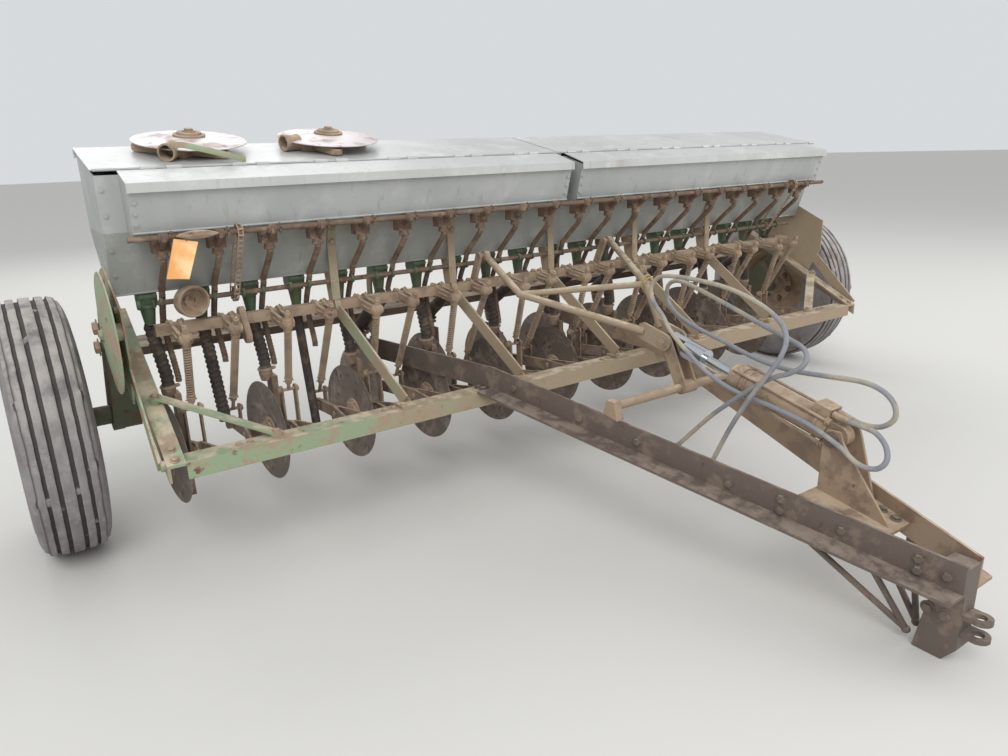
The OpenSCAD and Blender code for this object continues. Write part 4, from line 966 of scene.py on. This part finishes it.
# Openers: hub caps, bolts, scrapers, clips round the collars and pins at the bar and the rods' feet
def bar_z(y, disc_y):
    """Height of a drawbar's middle at station y."""
    return BAR_ROD[1] + (DISC_Z + 12 - BAR_ROD[1]) * (y - BAR_ROD[0]) / (disc_y - BAR_ROD[0])


def opener_fittings(name, rows, disc_y, foot, gang, bare=()):
    s = Shapes()
    rod_end = [(0, 6), (0, 15), (3, 16), (4, 13), (8, 12), (9, 5)]
    for i in list(rows) + list(bare):
        x = row_x(i)
        for side in (-1, 1):
            s.put(*turned(rod_end, (x + side * 55, *BAR_ROD), (side, 0, 0), 16))
            hex_bolt(s, (x + side * 26.2, foot[0], foot[1] + 12), (side, 0, 0), 17, 7)
            z = bar_z(96, disc_y)
            hex_bolt(s, (x + side * 11.6, 88, z), (side, -0.1, 0), 15, 6)
        pin = [(-30, 2), (-30, 5.5), (30, 5.5), (30, 2)]
        s.put(*turned(pin, (x, foot[0], foot[1] + 12), (1, 0, 0), 12))
        if i in bare:
            continue
        for y, z in ((disc_y - 6, DISC_Z + 66), (disc_y + 14, DISC_Z + 120), (disc_y + 26, DISC_Z + 20)):
            hex_bolt(s, (x - 14, y, z), (1, 0, 0), 15, 6)
        axis = np.array([np.cos(DISC_YAW), np.sin(DISC_YAW), 0])
        centre = np.array([x + DISC_SHIFT, disc_y, DISC_Z])
        cap = [(25.6, 10), (25.6, 40), (28, 44), (30, 44), (31, 38), (36, 34), (38, 26), (38, 6)]
        s.put(*turned(cap, centre, axis, 28))
        back = [(-4.6, 6), (-4.6, 44), (-7, 45), (-10, 43), (-11, 30), (-15, 28), (-17, 20), (-17, 6)]
        s.put(*turned(back, centre, axis, 28))
        for k in range(5):
            a = np.radians(72 * k + 10 * i)
            spoke = np.cos(a) * np.array([-axis[1], axis[0], 0]) + np.sin(a) * np.array([0, 0, 1.0])
            hex_bolt(s, centre - 10 * axis + 35 * spoke, -axis, 9, 4)
        ring = [(-3, 22.2), (-3, 24.5), (-2, 25), (2, 25), (3, 24.5), (3, 22.2)]
        s.put(*turned(ring, (x + COLLAR_SHIFT, disc_y, COLLAR_Z + 16), (0, 0, 1), 24, closed=True))
        s.put(*slab(oblong(22, 12, 5), upright(x - 19, disc_y, COLLAR_Z + 16), 5, 1))
        blade = [(-20, -9), (14, -7), (20, 0), (14, 8), (-20, 10)]
        place = ((x - 37, disc_y + 74, DISC_Z + 64), (0.5, 0.6, 0.6), (0, 0.7, -0.7), (0.86, -0.3, -0.3))
        s.put(*slab(blade, place, 4, 1))
    s.make(name, "muddy_steel", gang)


opener_fittings("opener_fittings_front", front_rows, FRONT_ROW_Y, FRONT_FOOT, "gang_front")
opener_fittings("opener_fittings_rear", fitted_rear_rows, REAR_ROW_Y, REAR_FOOT, "gang_rear", BARE_ROWS)


# Castings under the hoppers and the box: feed gates and stars, cup rims, covers over the drives
def feed_details():
    s = Shapes()
    for i in range(ROWS):
        x = row_x(i) + FEED_SHIFT
        s.put(*slab(oblong(44, 20, 5), upright(x, 47.6, 962), 5, 1.2))
        for side in (-1, 1):
            hex_bolt(s, (x + side * 16, 45, 976), (0, -1, 0), 11, 5)
            ring = [(6, 8.2), (6, 13), (8, 14), (12, 13), (12, 8.2)]
            s.put(*turned(ring, (x, *FEED_SHAFT), (side, 0, 0), 14))
        mouth = [(-4, 10), (-4, 16.5), (-2, 17.5), (2, 17.5), (4, 16.5), (4, 10)]
        s.put(*turned(mouth, (x, 60, 930), (0, 0, 1), 18))
        star = np.array([x + 24, *FEED_SHAFT])
        for k in range(6):
            a = np.radians(60 * k + 20 * i)
            spoke = np.array([0, np.cos(a), np.sin(a)])
            s.put(*tube([star + 7 * spoke, star + 17 * spoke], (4, 2.6), 6))
    s.make("feed_gates", "rusty_steel", "frame")


def cup_details():
    s = Shapes()
    for i in range(ROWS):
        x = row_x(i) + CUP_SHIFT
        y = FLOOR_Y + 35
        rim = [(-5, 20), (-5, 25.2), (-2, 26.2), (3, 26.2), (5, 25), (5, 20)]
        s.put(*turned(rim, (x, y, 774), (0, 0, 1), 20))
        s.put(*slab(oblong(50, 10, 4), upright(x, y - 29.5, 808), 4, 1))
        for side in (-1, 1):
            hex_bolt(s, (x + side * 19, y - 31, 808), (0, -1, 0), 10, 4)
            boss = [(27, 8.3), (27, 14), (30, 15), (36, 13), (36, 8.3)]
            s.put(*turned(boss, (x, *SEED_SHAFT), (side, 0, 0), 14))
        s.put(*tube([(x + 14, y - 26, 792), (x + 14, y - 36, 784), (x + 14, y - 38, 772)], (4, 3.4, 2.6), 7))
    s.make("cup_gates", "strap_green", "frame")


def drive_covers():
    """An oval cast cover like a bowl in front of the seed shaft, and a flat one over the feed shaft."""
    s = Shapes()
    bowl = [(0, 12), (2, 42), (12, 50), (38, 52), (44, 50), (45, 47), (42, 44), (16, 41), (9, 34), (8, 17),
            (15, 15), (16, 4)]
    s.put(*turned(bowl, (-1409, 144, 790), (0.32, -0.94, -0.08), 44, 0.93))
    clip = [(-1425, 120, 792), (-1412, 104, 776), (-1396, 100, 764), (-1380, 104, 752)]
    s.put(*tube(smooth_path(clip, 6.0), 1.6, 6))
    half = np.linspace(-1, 1, 15)
    upper = np.stack([57 * half, 11 * (1 - half ** 2) + 1.5], 1)
    lens = np.vstack([upper, upper[::-1] * (1, -1)])
    s.put(*slab(lens, upright(FLAT_COVER_X, -4, 992), 16, 4))
    s.put(*slab(oblong(88, 7, 4), upright(FLAT_COVER_X, -13, 992), 3, 1))
    s.make("drive_covers", "muddy_steel", "frame")


def tag():
    """A blank card in a sleeve, hung from the flat cover by a wire: a sheet between four corners, bulged."""
    a, b = np.meshgrid(np.linspace(0, 1, 9), np.linspace(0, 1, 13), indexing="ij")
    corners = np.array([(-1447, 20, 986), (-1384, 20, 972), (-1422, 20, 871), (-1482, 20, 878)], float)
    shares = ((1 - a) * (1 - b), a * (1 - b), a * b, (1 - a) * b)
    face = sum(share[..., None] * corner for share, corner in zip(shares, corners))
    face[..., 1] += 5 * np.sin(np.pi * a) * (0.4 + b) - 26
    rings = [np.vstack([face[k] + (0, 0.7, 0), face[k][::-1] - (0, 0.7, 0)]) for k in range(9)]
    s = Shapes()
    s.put(np.vstack(rings), grid(9, 26))
    s.make("tag_card", "tag", "frame", slot="muddy_steel")
    wire = Shapes()
    loop = [(-1415, -5, 976), (-1411, -9, 988), (-1404, -16, 999), (-1396, -12, 992), (-1404, -6, 982)]
    wire.put(*tube(smooth_path(loop, 4.0), 1.1, 6))
    wire.make("tag_wire", "rusty_steel", "frame")


feed_details()
cup_details()
drive_covers()
tag()


# Bolts and pin heads on the frame, the box, the tongue and the hitch
def frame_bolts():
    s = Shapes()
    for side in (-1, 1):
        for y, z in ((60, 800), (200, 806), (250, 866), (300, 820), (300, 700), (150, 640)):
            hex_bolt(s, (side * (BOX_HALF + 6.3), y, z), (side, 0, 0), 17, 8)
        for y, z in ((175, 735), (228, 668)):
            hex_bolt(s, (side * (BOX_HALF + 53), y, z), (side, 0, 0), 34, 12)
        hex_bolt(s, (side * 1278.5, -157, 422.3), (0, 0, 1), 19, 8)
        hex_bolt(s, (side * 1558.8, 21, 544), (0, -0.45, 0.89), 19, 8)
        for y in (-186, -150):
            hex_bolt(s, (side * 1566, y, 410.2 + 0.5 * (y + 203)), (0, -0.45, 0.89), 17, 7)
        hex_bolt(s, (side * 1590.6, -177, 405), (side, 0, 0), 19, 8)
    for k in range(-2, 3):
        x = k * 3 * PITCH - 22
        for z in (968, 922):
            hex_bolt(s, (x, wall_y(z) - 5.6, z), (0, -1, -0.3), 15, 7)
        for a, b in ((-16, -18), (16, 20)):
            hex_bolt(s, (x + 79 + a, -161 + b, 420.3), (0, 0, 1), 17, 7)
    for i in range(0, ROWS - 1, 3):
        x = row_x(i) + PITCH / 2
        for a in (-16, 16):
            hex_bolt(s, (x + a, -160, 410), (0, 0, 1), 15, 6)
    s.make("frame_bolts", "muddy_steel", "frame")


def wheel_shield():
    """Dished round guard by the left wheel, with a rolled rim and a bolt in its middle."""
    s = Shapes()
    r = GUARD_R
    dish = [(0, 4), (0, 30), (2, 60), (11, r - 26), (15, r - 4), (14, r), (16, r + 1.5), (18.5, r),
            (18, r - 5), (14, r - 28), (5, 60), (3, 30), (3, 4)]
    middle = np.array([-BOX_HALF - 38, *GUARD])
    s.put(*turned([(18 - a, b) for a, b in dish], middle, (-1, 0, 0), 56))
    s.put(*turned([(-31, 10), (-31, 25), (16, 25), (18, 23), (18, 10)], middle, (-1, 0, 0), 20))
    hex_bolt(s, middle + (-18, 0, 0), (-1, 0, 0), 24, 8)
    s.make("wheel_shield_dished", "faded_green", "frame", ["wheel_shield"])


def tongue_bolts():
    s = Shapes()
    web_bolts = ((-300, 40), (-560, 44), (-760, 40), (-1040, 46), (-1180, 24), (-1180, 58), (-1330, 40),
                 (-1500, 26), (-1500, 56), (-1560, 40))
    for side in (-1, 1):
        for y, drop in web_bolts:
            x = TONGUE_X + side * (beam_half(y) + TONGUE_T)
            hex_bolt(s, (x, y, beam_top(y) - drop), (side, -0.25, 0), 20, 9)
        for y in (-180, -150):
            hex_bolt(s, (TONGUE_X + side * 410, y, 410), (0, 0, 1), 20, 9)
        for y in (-1562, -1520):
            hex_bolt(s, (TONGUE_X + side * 29.6, y, 118), (side, 0, 0), 22, 9)
        rim = [(0, 10), (0, 20), (4, 21), (5, 16), (6, 5)]
        for out in (50, 45.2):
            s.put(*turned(rim, (LIFT_X + side * out, *BARREL_PIVOT), (side, 0, 0), 18))
        split_pin = np.array([LIFT_X + side * 53.5, *BARREL_PIVOT])
        s.put(*tube([split_pin - (0, 0, 17), split_pin + (0, 0, 17)], 2.2, 6))
    for y in (-1372, -1330, -1270, -1225):
        for side in (-1, 1):
            x = TONGUE_X + side * (beam_half(y) - 22)
            z = beam_top(-1399) - 50 + 10.4 + (y + 1399) * 0.1637
            hex_bolt(s, (x, y, z), (0, -0.16, 1), 18, 8)
    s.make("tongue_bolts", "dark_steel", "frame")


def linkage_pins():
    """Washers and split pins on the lever's pins, and the barrel's bands, tie rods and bolts."""
    s = Shapes()
    for side in (-1, 1):
        end = np.array([LIFT_X + side * 43, *LEVER_PIN])
        s.put(*turned([(0, 12.3), (0, 21), (3, 21), (3, 12.3)], end, (side, 0, 0), 20, closed=True))
        s.put(*tube([end + (side * 4.4, -16, 0), end + (side * 4.4, 16, 0)], 1.8, 6))
        cap = [(0, 8), (0, 20), (4, 21), (5, 14)]
        s.put(*turned(cap, (LIFT_X + side * 28, *LEVER_PIVOT), (side, 0, 0), 20))
    s.make("lever_pins", "muddy_steel", "lift_lever")
    s = Shapes()
    rings = [(0, 39), (0, 41.5), (2, 42.4), (5, 42.4), (7, 41.5), (7, 39)]
    pivot = np.array([LIFT_X, *BARREL_PIVOT])
    way = np.array([LIFT_X, *LEVER_PIN]) - pivot
    way /= np.linalg.norm(way)
    for d in (60, 300):
        s.put(*turned(rings, pivot + d * way, way, 32, closed=True))
    u, v, _ = basis(way)
    for k in range(4):
        a = np.radians(45 + 90 * k)
        spoke = np.cos(a) * u + np.sin(a) * v
        hex_bolt(s, pivot + 362.2 * way + 30 * spoke, way, 12, 6)
        rod = pivot + 47 * spoke
        s.put(*tube([rod + 32 * way, rod + 352 * way], 4.6, 10))
        hex_bolt(s, rod + 34 * way, -way, 15, 8)
    s.make("barrel_fittings", "muddy_steel", "cylinder_barrel")


frame_bolts()
wheel_shield()
tongue_bolts()
linkage_pins()


# Binding of twine round the crown of the lift yoke
def binding():
    s = Shapes()
    middle = np.array([-45, -415, 738.0])
    t = np.linspace(0, 1, 260)
    turns = 9
    a = 2 * np.pi * turns * t
    r = 17 + 2.5 * np.sin(7.3 * a / 6.28)
    across = r * np.cos(a) + 22 * (t - 0.5)
    along = -18 + 34 * t + 6 * np.sin(2.1 * a / 6.28)
    path = middle + np.stack([across, along, r * np.sin(a) - 30 * (t - 0.5)], 1)
    s.put(*tube(path, 2.1, 6))
    s.make("crown_binding", "twine", "lift_yoke", slot="faded_green")


binding()


# Rolled edges, seams and screws of the sheet metal
def sheet_edges():
    s = Shapes()
    for side in (-1, 1):
        x0, x1 = side * 25, side * HOPPER_HALF
        s.put(*tube([(x0, 37, 1003), (x1, 37, 1003)], 3.6, 10))
        for x in (x0 + side * 12, x1 - side * 12):
            for k in range(4):
                z = 1116 - 30 * k
                hex_bolt(s, (x, 38 * (1131 - z) / 127, z), (0, -1, -0.3), 9, 3)
        for z in (1120, 1050, 953, 880):
            hex_bolt(s, (side * (BOX_HALF - 14), wall_y(z), z), (0, -1, -0.3 * (z < WALL_BEND_Z)), 9, 3)
    s.put(*tube([(-BOX_HALF, 176, 821), (BOX_HALF, 176, 821)], 3.0, 10))
    s.make("sheet_edges", "galvanised", "frame")


sheet_edges()


# Floor, backdrop and light
def add_stage():
    size = 60.0
    mesh = bpy.data.meshes.new("floor")
    corners = [(-size, -size, 0), (size, -size, 0), (size, size, 0), (-size, size, 0)]
    mesh.from_pydata(corners, [], [(0, 1, 2, 3)])
    floor = bpy.data.objects.new("floor", mesh)
    floor.location.z = -0.002
    bpy.context.scene.collection.objects.link(floor)
    mesh.materials.append(Paint("plain_floor", "#d2d0cb", rough=0.9).done())
    world = bpy.data.worlds.new("studio")
    bpy.context.scene.world = world
    world.use_nodes = True
    world.node_tree.nodes["Background"].inputs["Color"].default_value = linear("#eef1f4")
    world.node_tree.nodes["Background"].inputs["Strength"].default_value = 0.8
    for name, place, aim, power, width in (
        ("key", (-4.5, -5.5, 6.5), (0, 0, 0.6), 420, 5.0),
        ("fill", (6.0, -3.0, 4.0), (0.5, 0, 0.6), 160, 5.0),
        ("back", (0.0, 7.0, 6.0), (0, 0, 0.8), 220, 6.0),
    ):
        light = bpy.data.lights.new(name, "AREA")
        light.energy = power
        light.size = width
        obj = bpy.data.objects.new(name, light)
        u, v, w = basis(np.array(place, float) - np.array(aim, float))
        obj.matrix_world = Matrix([[u[k], v[k], w[k], place[k]] for k in range(3)] + [[0, 0, 0, 1]])
        bpy.context.scene.collection.objects.link(obj)
    bpy.context.scene.view_settings.view_transform = "Standard"


add_stage()
